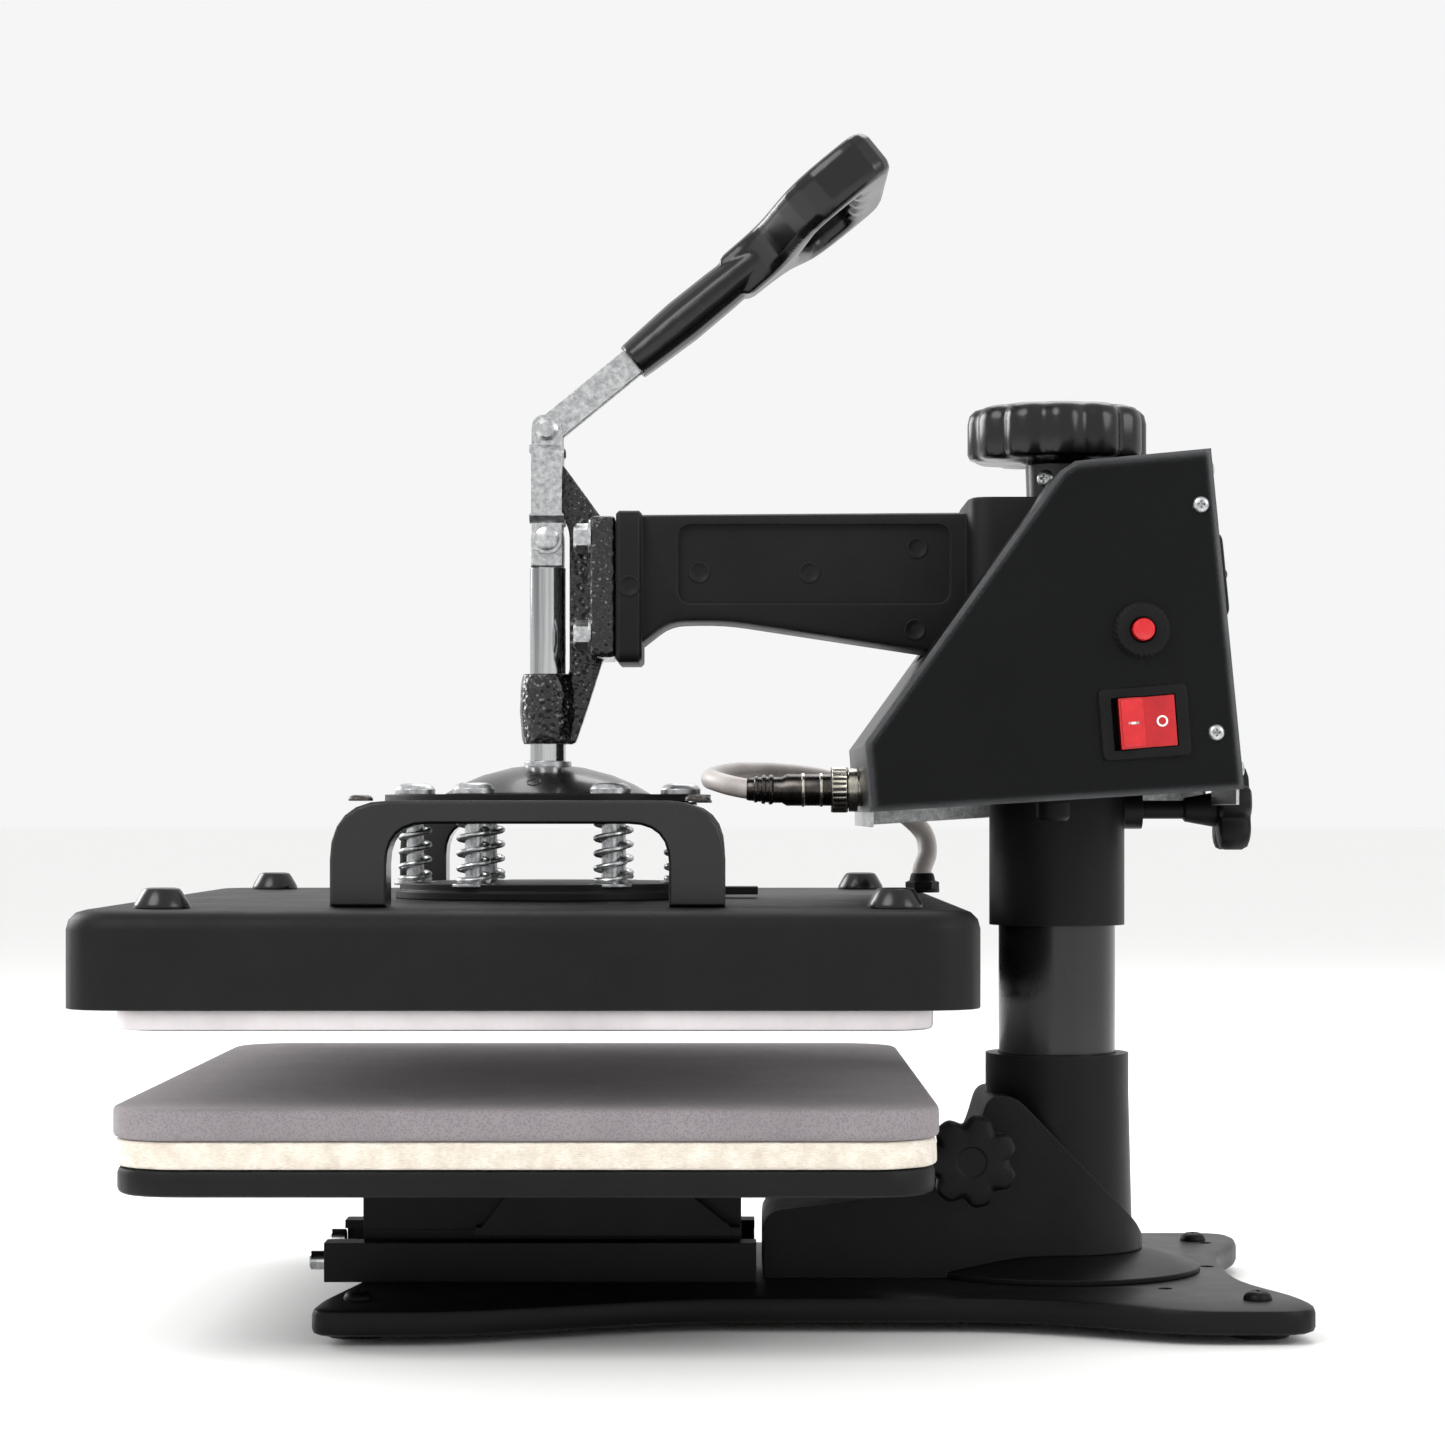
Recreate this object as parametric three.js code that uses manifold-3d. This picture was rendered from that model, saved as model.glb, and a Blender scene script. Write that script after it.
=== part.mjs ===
// Swing-away toggle heat press. Millimetres, +Z up, the operator stands on the -X side.
// Every sub-part is drawn with the post axis at X = 0, Y = 0 and the base plate's underside at Z = 0;
// the whole press is then shifted so that its origin is the middle of its footprint, on the table.
import * as THREE from 'three';
import { mergeVertices } from 'three/addons/utils/BufferGeometryUtils.js';
import Module from 'manifold-3d';

const wasm = await Module();
wasm.setup();

// ---- driving dimensions ----
const gap = 0.3;                 // clearance between pieces that touch
const footHeight = 4;
const plateThickness = 10;       // base plate
const baseRight = 89;
const platenX = -211;            // plunger, platen and pads share this axis
const padSize = [305, 381];      // 12 x 15 inch working area
const tableZ = 59;               // underside of the lower platen
const feltZ = 69.3;
const siliconeZ = 79.6;
const padTopZ = 91.3;
const heatPlateZ = 119.6;        // hot face with the press open
const housingSize = [333, 413];
const housingZ = [127.9, 163.5];
const topPlateZ = 203.6;         // plate that the plunger pushes
const springCircle = 55;
const springCount = 6;
const postRadius = 24.1;
const postTopZ = 300;
const hubTopZ = 327;
const crankRadius = 17.1;        // pivot A to pivot B
const linkLength = 44.9;         // pivot B to pivot C
const pivotAZ = 339.5;
const pivotBZ = pivotAZ + crankRadius;
const pivotCZ = pivotBZ - linkLength;
const handleAngle = THREE.MathUtils.degToRad(39.3);
const boxHalfWidth = 88.6;       // control box, across Y
const sheet = 1.6;               // its sheet thickness
const boxTilt = THREE.MathUtils.degToRad(4.5);

// ---- finishes ----
const finish = (color, roughness, metalness) => new THREE.MeshStandardMaterial({ color, roughness, metalness });
const powderCoat = finish(0x232323, 0.62, 0.1);
const hammerCoat = finish(0x161616, 0.35, 0.2);
const glossBlack = finish(0x1c1c1d, 0.25, 0);
const mouldedBlack = finish(0x202021, 0.5, 0);
const rubberBlack = finish(0x1a1a1a, 0.85, 0);
const chrome = finish(0xd6d8da, 0.12, 1);
const zincPlate = finish(0xb9babd, 0.42, 1);
const bronze = finish(0xb08d57, 0.35, 1);
const castAluminium = finish(0xcfc9cb, 0.4, 0.9);
const greySilicone = finish(0x8d858e, 0.85, 0);
const creamFelt = finish(0xe9e1d8, 0.95, 0);
const greyLead = finish(0xcfc8c6, 0.6, 0);
const gunmetal = finish(0x4a4846, 0.3, 1);
const redLens = finish(0xe0202c, 0.3, 0);
const paleFibre = finish(0xd9d2c4, 0.95, 0);

// ---- solids ----
const axisTurn = {
  x: new THREE.Matrix4().makeRotationZ(-Math.PI / 2),
  y: new THREE.Matrix4(),
  z: new THREE.Matrix4().makeRotationX(Math.PI / 2),
};
const planeTurn = {
  xy: new THREE.Matrix4(),
  xz: new THREE.Matrix4().makeRotationX(Math.PI / 2),
  yz: new THREE.Matrix4().makeBasis(
    new THREE.Vector3(0, 1, 0), new THREE.Vector3(0, 0, 1), new THREE.Vector3(1, 0, 0)),
};

function volumeOf(points, corners) {
  const [a, b, c] = [new THREE.Vector3(), new THREE.Vector3(), new THREE.Vector3()];
  let total = 0;
  for (let i = 0; i < corners.length; i += 3) {
    a.fromArray(points, corners[i] * 3);
    b.fromArray(points, corners[i + 1] * 3);
    c.fromArray(points, corners[i + 2] * 3);
    total += a.dot(b.cross(c)) / 6;
  }
  return total;
}

// a closed three.js geometry becomes a solid that can be joined and cut
function solidOf(geometry) {
  const bare = geometry.clone();
  bare.deleteAttribute('normal');
  bare.deleteAttribute('uv');
  const merged = mergeVertices(bare, 1e-4);
  const points = Float32Array.from(merged.attributes.position.array);
  const corners = [];
  for (let i = 0; i < merged.index.count; i += 3) {
    const triangle = [0, 1, 2].map((k) => merged.index.getX(i + k));
    if (new Set(triangle).size === 3) corners.push(...triangle);
  }
  if (volumeOf(points, corners) < 0) corners.reverse();
  return new wasm.Manifold(new wasm.Mesh({
    numProp: 3, vertProperties: points, triVerts: Uint32Array.from(corners),
  }));
}

function geometryOf(solid) {
  const { vertProperties, triVerts } = solid.getMesh();
  const geometry = new THREE.BufferGeometry();
  geometry.setAttribute('position', new THREE.BufferAttribute(new Float32Array(vertProperties), 3));
  geometry.setIndex(new THREE.BufferAttribute(new Uint32Array(triVerts), 1));
  geometry.computeVertexNormals();
  return geometry;
}

const join = (...solids) => solids.reduce((all, next) => all.add(next));
const cut = (solid, ...tools) => tools.reduce((left, tool) => left.subtract(tool), solid);

function box([x0, x1], [y0, y1], [z0, z1], matrix = new THREE.Matrix4()) {
  const geometry = new THREE.BoxGeometry(x1 - x0, y1 - y0, z1 - z0);
  geometry.translate((x0 + x1) / 2, (y0 + y1) / 2, (z0 + z1) / 2);
  return solidOf(geometry.applyMatrix4(matrix));
}

// a turned piece: profile points are [radius, distance along the axis]
function turned(axis, profile, [x, y, z], segments = 24) {
  const points = [...profile, profile[0]].map(([radius, along]) => new THREE.Vector2(radius, along));
  const geometry = new THREE.LatheGeometry(points, segments);
  geometry.applyMatrix4(axisTurn[axis]);
  return solidOf(geometry.translate(x, y, z));
}

const cylinder = (axis, radius, [from, to], centre, segments = 24) =>
  turned(axis, [[0, from], [radius, from], [radius, to], [0, to]], centre, segments);

// an outline from corners [x, y, how far its rounding reaches along each edge]
function outline(corners, shape = new THREE.Shape()) {
  corners.forEach(([x, y, reach = 0], index) => {
    const here = new THREE.Vector2(x, y);
    const before = new THREE.Vector2(...corners.at(index - 1).slice(0, 2));
    const after = new THREE.Vector2(...corners[(index + 1) % corners.length].slice(0, 2));
    const start = before.sub(here).setLength(reach).add(here);
    const end = after.sub(here).setLength(reach).add(here);
    if (index === 0) shape.moveTo(start.x, start.y);
    else shape.lineTo(start.x, start.y);
    if (reach > 0) shape.quadraticCurveTo(x, y, end.x, end.y);
  });
  return shape;
}

const roundedRect = ([x, y], [width, height], reach) => outline([
  [x - width / 2, y - height / 2, reach],
  [x + width / 2, y - height / 2, reach],
  [x + width / 2, y + height / 2, reach],
  [x - width / 2, y + height / 2, reach],
]);

// an outline in a plane, pushed through along the third axis, with optional rounded edges
function extruded(plane, shape, [from, to], { bevel = 0, rounds = 2, curve = 4 } = {}) {
  const geometry = new THREE.ExtrudeGeometry(shape, {
    depth: to - from - 2 * bevel,
    bevelEnabled: bevel > 0,
    bevelThickness: bevel,
    bevelSize: bevel,
    bevelOffset: -bevel,
    bevelSegments: rounds,
    curveSegments: curve,
  });
  geometry.translate(0, 0, bevel);
  geometry.applyMatrix4(planeTurn[plane]);
  const shift = { xy: [0, 0, from], xz: [0, to, 0], yz: [from, 0, 0] }[plane];
  return solidOf(geometry.translate(...shift));
}

// moves each edge of a polygon inward by its own distance (negative: outward)
function inset(corners, distances) {
  const edges = corners.map(([x, y], index) => {
    const [nextX, nextY] = corners[(index + 1) % corners.length];
    const along = new THREE.Vector2(nextX - x, nextY - y).normalize();
    const point = new THREE.Vector2(x - along.y * distances[index], y + along.x * distances[index]);
    return { point, along };
  });
  return edges.map(({ point, along }, index) => {
    const before = edges.at(index - 1);
    const apart = point.clone().sub(before.point);
    const reach = apart.cross(along) / before.along.cross(along);
    return [before.point.x + before.along.x * reach, before.point.y + before.along.y * reach];
  });
}

const press = new THREE.Group();

function piece(name, solid, material, parent = press) {
  const mesh = new THREE.Mesh(geometryOf(solid), material);
  mesh.name = name;
  parent.add(mesh);
}

// ---- base: plate, feet, post and its brace, slide rail ----
const footPlaces = [[69, -97], [69, 97], [-280, -96], [-280, 96]];

function basePlate() {
  const nearSide = [
    [-283, -30, 18], [-289, -66, 10], [-294, -95, 8], [-296, -130, 12], [-242, -130, 16],
    [-150, -92, 24], [-21, -92, 24], [37, -127, 16], [baseRight, -127, 16], [baseRight, -92, 18],
    [70, -40, 26],
  ];
  const farSide = nearSide.map(([x, y, reach]) => [x, -y, reach]).reverse();
  const plate = extruded('xy', outline([...nearSide, ...farSide]), [0, plateThickness], { bevel: 2.5 });
  const drilled = [...footPlaces, [37, -65], [37, 65], [63, 5], [73, 87]];
  return cut(plate, ...drilled.map(([x, y]) => cylinder('z', 3, [-1, 12], [x, y, 0], 10)));
}

const rubberFoot = ([x, y]) => turned('z', [[3.4, -footHeight], [12, -footHeight], [13, -gap], [3.4, -gap]], [x, y, 0], 14);

// outside of the socket that the post stands in, widened by grow
const socketOutside = (grow) => [
  [59 + grow, 12.2 + grow], [38 + grow, 18.5 + grow], [31.2 + grow, 19.5 + grow],
  [29.6 + grow, 83], [29.6 + grow, 99.6],
];

const postSocket = () => turned('z', [
  [24.5, plateThickness + gap], [59, plateThickness + gap], ...socketOutside(0), [24.5, 99.6],
], [0, 0, 0], 36);

// steel tube with a threaded plug welded into its top
const postTube = () => turned('z', [
  [21, plateThickness + gap], [postRadius, plateThickness + gap], [postRadius, postTopZ],
  [6.6, postTopZ], [6.6, postTopZ - 18], [21, postTopZ - 18],
], [0, 0, 0], 32);

// cast brace that hugs the socket and runs forward to the rail
function postBrace() {
  const halfWidth = 35.2;
  const plan = new THREE.Shape();
  plan.moveTo(-122, -halfWidth);
  plan.lineTo(0, -halfWidth);
  plan.absarc(0, 0, halfWidth, -Math.PI / 2, Math.PI / 2, false);
  plan.lineTo(-122, halfWidth);
  const side = outline([
    [-122, plateThickness + gap], [36, plateThickness + gap], [36, 22], [31, 31, 4], [-20, 84, 6],
    [-31, 84, 5], [-37, 64, 8], [-58, 46, 8], [-89, 41, 8], [-122, 37, 7],
  ]);
  const body = extruded('xy', plan, [plateThickness + gap, 90], { curve: 10 })
    .intersect(extruded('xz', side, [-40, 40]));
  const socket = turned('z', [[0, 0], [59 + gap, 0], ...socketOutside(gap), [0, 99.6]], [0, 0, 0], 36);
  const underside = box([-117, -40], [-29, 29], [plateThickness, 32]);
  return cut(body, socket, underside);
}

// C-shaped rail that the table slides out on
function slideRail() {
  const [left, right] = [-298.6, -125];
  const channel = box([left, right], [-48, 48], [plateThickness + gap, 26]);
  const slot = box([left - 1, right + 1], [-44, 44], [13, 22.5]);
  const mouth = box([left - 1, right + 1], [-34, 34], [22, 27]);
  return cut(channel, slot, mouth);
}

// ---- table: carriage, lower platen and its pads ----
function carriage() {
  const [left, right] = [-284, -131];
  const wall = outline([[-238, 28.7], [right, 28.7], [-166, 57], [-216, 57]]);
  return join(
    box([left, right], [-43.6, 43.6], [13.4, 22.1]),
    box([left, right], [-33.6, 33.6], [22, 31]),
    box([-238, right], [-46, 46], [28.7, 32]),
    extruded('xz', wall, [-46, -41]),
    extruded('xz', wall, [41, 46]),
    box([left, -222], [-36, 36], [30, 57]),
    box([-168, right], [-36, 36], [30, 57]),
    box([left, right], [-48, 48], [55, tableZ - gap]),
  );
}

const slab = ([width, depth], reach, [from, to], bevel) =>
  extruded('xy', roundedRect([platenX, 0], [width, depth], reach), [from, to], { bevel, curve: 6 });

const lowerPlaten = () => slab([302, 378], 28, [tableZ, feltZ - gap], 2.2);
const feltPad = () => slab([303.5, 379.5], 29, [feltZ, siliconeZ - gap], 1);
const siliconePad = () => slab(padSize, 29, [siliconeZ, padTopZ], 1.5);

// ---- knobs ----
function lobedOutline(lobes, radius, depth, stepsPerLobe) {
  const steps = lobes * stepsPerLobe;
  const shape = new THREE.Shape();
  for (let i = 0; i < steps; i += 1) {
    const turn = (i / steps) * 2 * Math.PI;
    const reach = radius - depth * (0.5 - 0.5 * Math.cos(lobes * turn)) ** 2;
    shape[i ? 'lineTo' : 'moveTo'](reach * Math.cos(turn), reach * Math.sin(turn));
  }
  return shape;
}

function pressureKnob() {
  const head = extruded('xy', lobedOutline(12, 37, 2.6, 6), [344, 366], { bevel: 3 });
  const boss = turned('z', [[0, hubTopZ + gap], [12.5, hubTopZ + gap], [12.5, 340], [26, 342], [26, 345], [0, 345]], [0, 0, 0]);
  return cut(join(head, boss), cylinder('z', 6.3, [320, 358], [0, 0, 0], 16));
}

const pressureScrew = () => cylinder('z', 6, [236, 357.7], [0, 0, 0], 16);

// star knob whose screw pinches the arm's sleeve on the post
function swingLockKnob() {
  const head = extruded('yz', lobedOutline(5, 18.5, 6, 7), [66, 79], { bevel: 2.5 });
  const stem = turned('x', [[0, 26.2], [3.8, 26.2], [3.8, 52], [5, 53], [7, 64], [7, 67], [0, 67]], [0, 0, 0], 16);
  return { head, stem };
}

// star knob on the brace that clamps the post in its socket
function postLockKnob() {
  const place = [-39.6, 0, 60];
  const head = extruded('xz', lobedOutline(7, 18.5, 3.4, 6), [-65, -52], { bevel: 2.5 });
  const stem = turned('y', [[0, -53], [7.5, -53], [7.5, -42], [3.8, -41], [3.8, -36], [0, -36]], [0, 0, 0], 16);
  return { head, stem, place };
}

// ---- arm: hub, casting, plunger guide ----
const hubSleeve = () => cut(
  join(
    turned('z', [[25.9, 152.5], [28, 152.5], [28, 310], [25.9, 310]], [0, 0, 0], 32),
    cylinder('x', 8, [27.2, 35], [0, 0, 200], 16),
  ),
  cylinder('x', 4.2, [20, 40], [0, 0, 200], 16),
  cylinder('z', 25.9, [150, 312], [0, 0, 0], 32),
);

const postBushing = () => turned('z', [[24.45, 156], [25.6, 156], [25.6, 296], [24.45, 296]], [0, 0, 0], 32);

function armCasting() {
  const arm = outline([
    [-174, 320.5], [-174, 266], [-160, 277, 6], [-138, 277.5, 10], [-50, 264, 8], [-30, 262], [-30, 321.5],
  ]);
  const panel = outline([[-157, 284, 6], [-45.5, 284, 6], [-45.5, 316.6, 6], [-157, 316.6, 6]]);
  const frontPlate = outline([[-29, 260, 5], [29, 260, 5], [29, 322, 5], [-29, 322, 5]]);
  const body = join(
    extruded('xz', arm, [-23.5, 23.5], { bevel: 2.5 }),
    extruded('yz', frontPlate, [-182, -171.5], { bevel: 1.2, rounds: 1 }),
    extruded('xy', roundedRect([-2.5, 0], [73, 68], 10), [212, hubTopZ], { bevel: 2 }),
  );
  return cut(
    body,
    extruded('xz', panel, [-26, -20.8]),
    extruded('xz', panel, [20.8, 26]),
    cylinder('z', 28.3, [200, 311], [0, 0, 0], 32),
    cylinder('z', 7, [300, 330], [0, 0, 0], 16),
  );
}

function guideBracket() {
  const web = outline([
    [-188, 262], [-188, 320], [-204.6, 342.8, 2], [-211, 346.2, 3.5], [-217.8, 339.5, 4.5], [-211, 333, 4],
    [-206.5, 324, 3], [-201.9, 316, 4], [-201.9, 228], [-199.5, 227, 1], [-195, 240, 5],
  ]);
  const flange = outline([[-27, 262, 4], [27, 262, 4], [27, 320, 4], [-27, 320, 4]]);
  const barrel = [[0, 226.7], [9.9, 226.7], [10.8, 229], [11.7, 241], [11.3, 251], [10.4, 256.4], [0, 256.4]];
  const body = join(
    extruded('xz', web, [-4, 4]),
    extruded('yz', flange, [-192.5, -182.3], { bevel: 1, rounds: 1 }),
    turned('z', barrel, [platenX, 0, 0]),
  );
  return cut(
    body,
    cylinder('z', 9.2, [220, 260], [platenX, 0, 0]),
    cylinder('y', 3.25, [-6, 6], [platenX, 0, pivotAZ], 16),
  );
}

const guideBushing = () =>
  turned('z', [[7.7, 227.2], [8.9, 227.2], [8.9, 256], [7.7, 256]], [platenX, 0, 0]);

const pivotPin = () => cylinder('y', 3, [-7.2, 7.2], [platenX, 0, pivotAZ], 16);

// ---- control box ----
// side view of the box, clockwise from the foot of its front edge: [x, z]
const boxSide = [[-81, 199], [65, 208], [52, 341], [-1, 336], [-7, 332], [-83, 226]];
const boxShape = (distances) => outline(inset(boxSide, distances));
const faceX = 56.6;              // middle of the sloping display face
const faceZ = 294;
const faceTilt = Math.atan2(13, 133);
const faceFrame = new THREE.Matrix4()
  .makeTranslation(faceX, 0, faceZ)
  .multiply(new THREE.Matrix4().makeRotationY(-faceTilt));
const switchPlace = [26, 234];
const breakerPlace = [25, 270];
const socketZ = 208.2;

function switchFrame() {
  return new THREE.Matrix4()
    .makeTranslation(switchPlace[0], -boxHalfWidth, switchPlace[1])
    .multiply(new THREE.Matrix4().makeRotationY(-boxTilt));
}

// sides, front slope and top, bent from one sheet, slotted for the arm
function controlBoxCover() {
  const open = -30;
  const inner = boxHalfWidth - sheet;
  const shell = cut(
    extruded('xz', boxShape([0, 0, 0, 0, 0, 0]), [-boxHalfWidth, boxHalfWidth]),
    extruded('xz', boxShape([open, open, sheet, sheet, sheet, sheet]), [-inner, inner]),
  );
  return cut(
    shell,
    box([-58, 16], [-36, 36], [262, 350]),
    box([-15.2, 15.2], [-4, 4], [-12.2, 12.2], switchFrame()),
    cylinder('y', 8.4, [-95, -80], [breakerPlace[0], 0, breakerPlace[1]], 20),
    cylinder('x', 7.2, [-90, -75], [0, 0, socketZ], 20),
  );
}

// floor and display face, screwed inside the cover
function controlBoxChassis() {
  const skin = sheet + gap;
  const open = -30;
  const half = boxHalfWidth - skin;
  const angle = cut(
    extruded('xz', boxShape([0, 0, skin, skin, skin, skin]), [-half, half]),
    extruded('xz', boxShape([sheet, sheet, open, open, open, open]), [-half - 1, half + 1]),
  );
  return cut(
    angle,
    cylinder('z', 29.3, [190, 215], [0, 0, 0], 28),
    box([20, 37], [-9, 9], [190, 212]),
    box([-8, 8], [-42, 42], [-13, 13], faceFrame),
  );
}

const keyPlaces = [-14, 0, 14];
const keyZ = -8.6;

function displayUnit() {
  const bezel = extruded('yz', roundedRect([0, 0], [96, 33.5], 5), [gap, 7.2], { bevel: 1.8 });
  const body = box([-14, 1], [-41.5, 41.5], [-12.5, 12.5]);
  const window = box([6.2, 9], [-35, 35], [-4.5, 12]);
  const pockets = keyPlaces.map((y) => cylinder('x', 3.4, [2.6, 9], [0, y, keyZ], 12));
  return cut(join(bezel, body), window, ...pockets);
}

const displayKey = (y) => cylinder('x', 3, [4, 8.2], [0, y, keyZ], 12);

function switchBody() {
  const bezel = extruded('xz', roundedRect([0, 0], [35, 28.5], 3), [-2.2, -gap], { bevel: 0.7, rounds: 1 });
  const body = box([-14.6, 14.6], [-1, 24], [-11.6, 11.6]);
  return cut(join(bezel, body), box([-12.6, 12.6], [-3, 13], [-10.3, 10.3]));
}

// the rocker's face is a shallow V; it rests with its left end out
function rockerSwitch() {
  const rest = THREE.MathUtils.degToRad(8);
  const pivotY = 4;
  const face = outline([[-11.2, -3.5], [0, -1.4], [11.2, -3.5], [9, 9, 2], [-9, 9, 2]]);
  const geometry = new THREE.ExtrudeGeometry(face, { depth: 19.8, bevelEnabled: false, curveSegments: 3 });
  geometry.translate(0, -pivotY, -9.9).rotateZ(rest).translate(0, pivotY, 0);
  return solidOf(geometry);
}

const breakerBody = () => turned('y', [
  [5, -4.3], [9.6, -4.3], [10.4, -3.5], [10.4, -gap], [8, -gap], [8, 18], [0, 18], [0, 3.4], [5, 3.4],
], [breakerPlace[0], -boxHalfWidth, breakerPlace[1]]);

const resetButton = () =>
  turned('y', [[0, -7], [3.4, -7], [4.4, -6], [4.4, 0.6], [0, 0.6]], [breakerPlace[0], -boxHalfWidth, breakerPlace[1]], 16);

const panelSocket = () => turned('x', [
  [0, -70], [6.8, -70], [6.8, -82.7], [9, -82.7], [9, -86.3], [7.6, -86.3], [7.6, -92], [0, -92],
], [0, 0, socketZ], 20);

const leadPlug = () => turned('x', [
  [0, -92.4], [8, -92.4], [8, -86.7], [9.3, -86.7], [9.3, -93.6], [6.6, -93.6], [6.6, -112],
  [5.4, -114], [5.4, -119.6], [0, -119.6],
], [0, 0, socketZ], 20);

const mainsGland = () =>
  turned('z', [[3.7, 195.6], [5.6, 195.6], [6.6, 197], [6.6, 202.7], [3.7, 202.7]], [-7, -60, 0], 12);

const solidStateRelay = () => box([4, 48], [52, 78], [224, 282]);

// ---- toggle: plunger, links, handle ----
const plungerRod = () => turned('z', [
  [0, 197.5], [4.6, 197.5], [4.6, topPlateZ + 2.9], [7.5, topPlateZ + 2.9], [7.5, 300], [4, 300],
  [4, 305], [0, 305],
], [platenX, 0, 0]);

function plungerClevis() {
  const eye = outline([
    [platenX - 6.8, 300.3], [platenX + 6.8, 300.3], [platenX + 6.8, pivotCZ + 6.8, 6], [platenX - 6.8, pivotCZ + 6.8, 6],
  ]);
  return cut(
    extruded('xz', eye, [-6.8, 6.8], { bevel: 0.6, rounds: 1 }),
    cylinder('z', 4.3, [295, 305.6], [platenX, 0, 0], 16),
    cylinder('y', 3.25, [-10, 10], [platenX, 0, pivotCZ], 16),
  );
}

const domeCap = () => turned('z', [
  [7.9, 216.2], [7.9, 218.2], [15, 217.4], [27, 214.2], [36, 210.4], [42.7, 206.5], [38.5, 206.5],
  [33, 209], [24, 212.6], [14, 215.3],
], [platenX, 0, 0], 28);

const springPlaces = Array.from({ length: springCount }, (_, i) => {
  const turn = (i / springCount) * 2 * Math.PI;
  return [platenX + springCircle * Math.cos(turn), springCircle * Math.sin(turn)];
});

function topPlate() {
  const disc = turned('z', [[5, topPlateZ], [67.5, topPlateZ], [67.5, topPlateZ + 2.6], [5, topPlateZ + 2.6]], [platenX, 0, 0], 36);
  return cut(disc, ...springPlaces.map(([x, y]) => cylinder('z', 4.3, [200, 210], [x, y, 0], 12)));
}

// strap with a joggled middle that steps over the fixed pivot
function linkStrap(side) {
  const [low, high] = [pivotCZ - 6.2, pivotBZ + 6.2];
  const joggle = outline([
    [7.6, low - 1], [10.6, low - 1], [10.6, 318], [12.9, 321], [12.9, 347.4], [10.6, 350.4], [10.6, high + 1],
    [7.6, high + 1], [7.6, 349.8], [9.9, 346.8], [9.9, 321.6], [7.6, 318.6],
  ].map(([y, z]) => [y * side, z]));
  const face = outline([
    [-6.2, low, 6], [6.2, low, 6], [6.2, 317.4], [7.1, 318.2], [7.1, 321.4], [6.3, 322.2], [6.3, 346.2],
    [7.1, 347], [7.1, 350], [6.2, 350.8], [6.2, high, 6], [-6.2, high, 6], [-6.2, 350.8], [-7.1, 350],
    [-7.1, 347], [-6.3, 346.2], [-6.3, 322.2], [-7.1, 321.4], [-7.1, 318.2], [-6.2, 317.4],
  ].map(([x, z, reach = 0]) => [x + platenX, z, reach]));
  const rivet = turned('y', [[0, 10.4], [4.8, 10.4], [4.8, 11.4], [3.2, 12.6], [0, 12.8]].map(
    ([radius, along]) => [radius, along * side]), [platenX, 0, pivotBZ], 14);
  const strap = extruded('yz', joggle, [platenX - 9, platenX + 9])
    .intersect(extruded('xz', face, [-14, 14]));
  return cut(join(strap, rivet), cylinder('y', 3.3, [-14, 14], [platenX, 0, pivotCZ], 16));
}

const linkPin = () => turned('y', [
  [0, -12.9], [3.4, -12.7], [5, -11.8], [5, -10.9], [3, -10.9], [3, 10.9], [5, 10.9], [5, 11.8],
  [3.4, 12.7], [0, 12.9],
], [platenX, 0, pivotCZ], 16);

// the handle is drawn along its own X from pivot B, then raised by its angle
const handleFrame = new THREE.Matrix4()
  .makeTranslation(platenX, 0, pivotBZ)
  .multiply(new THREE.Matrix4().makeRotationY(-handleAngle));
const gripStart = 45.3;
const gripEnd = 110;
const handleEnd = 175;

function inHandleFrame(geometry) {
  return solidOf(geometry.applyMatrix4(handleFrame));
}

function handlePlate([from, to]) {
  const bar = new THREE.ExtrudeGeometry(
    outline([[-5.5, -5.5, 4], [60, -5.5], [60, 5.5], [-5.5, 5.5, 4]]),
    { depth: to - from, bevelEnabled: false, curveSegments: 4 });
  bar.applyMatrix4(planeTurn.xz).translate(0, to, 0);
  const crank = outline([
    [platenX - 6.3, pivotAZ - 6.3, 6], [platenX + 6.3, pivotAZ - 6.3, 6],
    [platenX + 6.3, pivotBZ + 5.5, 5], [platenX - 6.3, pivotBZ + 5.5, 5],
  ]);
  return join(inHandleFrame(bar), extruded('xz', crank, [from, to]));
}

function handleFork() {
  const tie = new THREE.BoxGeometry(12, 14.6, 11).translate(54, 0, 0);
  return cut(
    join(handlePlate([-7.3, -4.3]), handlePlate([4.3, 7.3]), inHandleFrame(tie)),
    cylinder('y', 3.35, [-10, 10], [platenX, 0, pivotAZ], 16),
    cylinder('y', 3.6, [-10, 10], [platenX, 0, pivotBZ], 12),
  );
}

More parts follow.
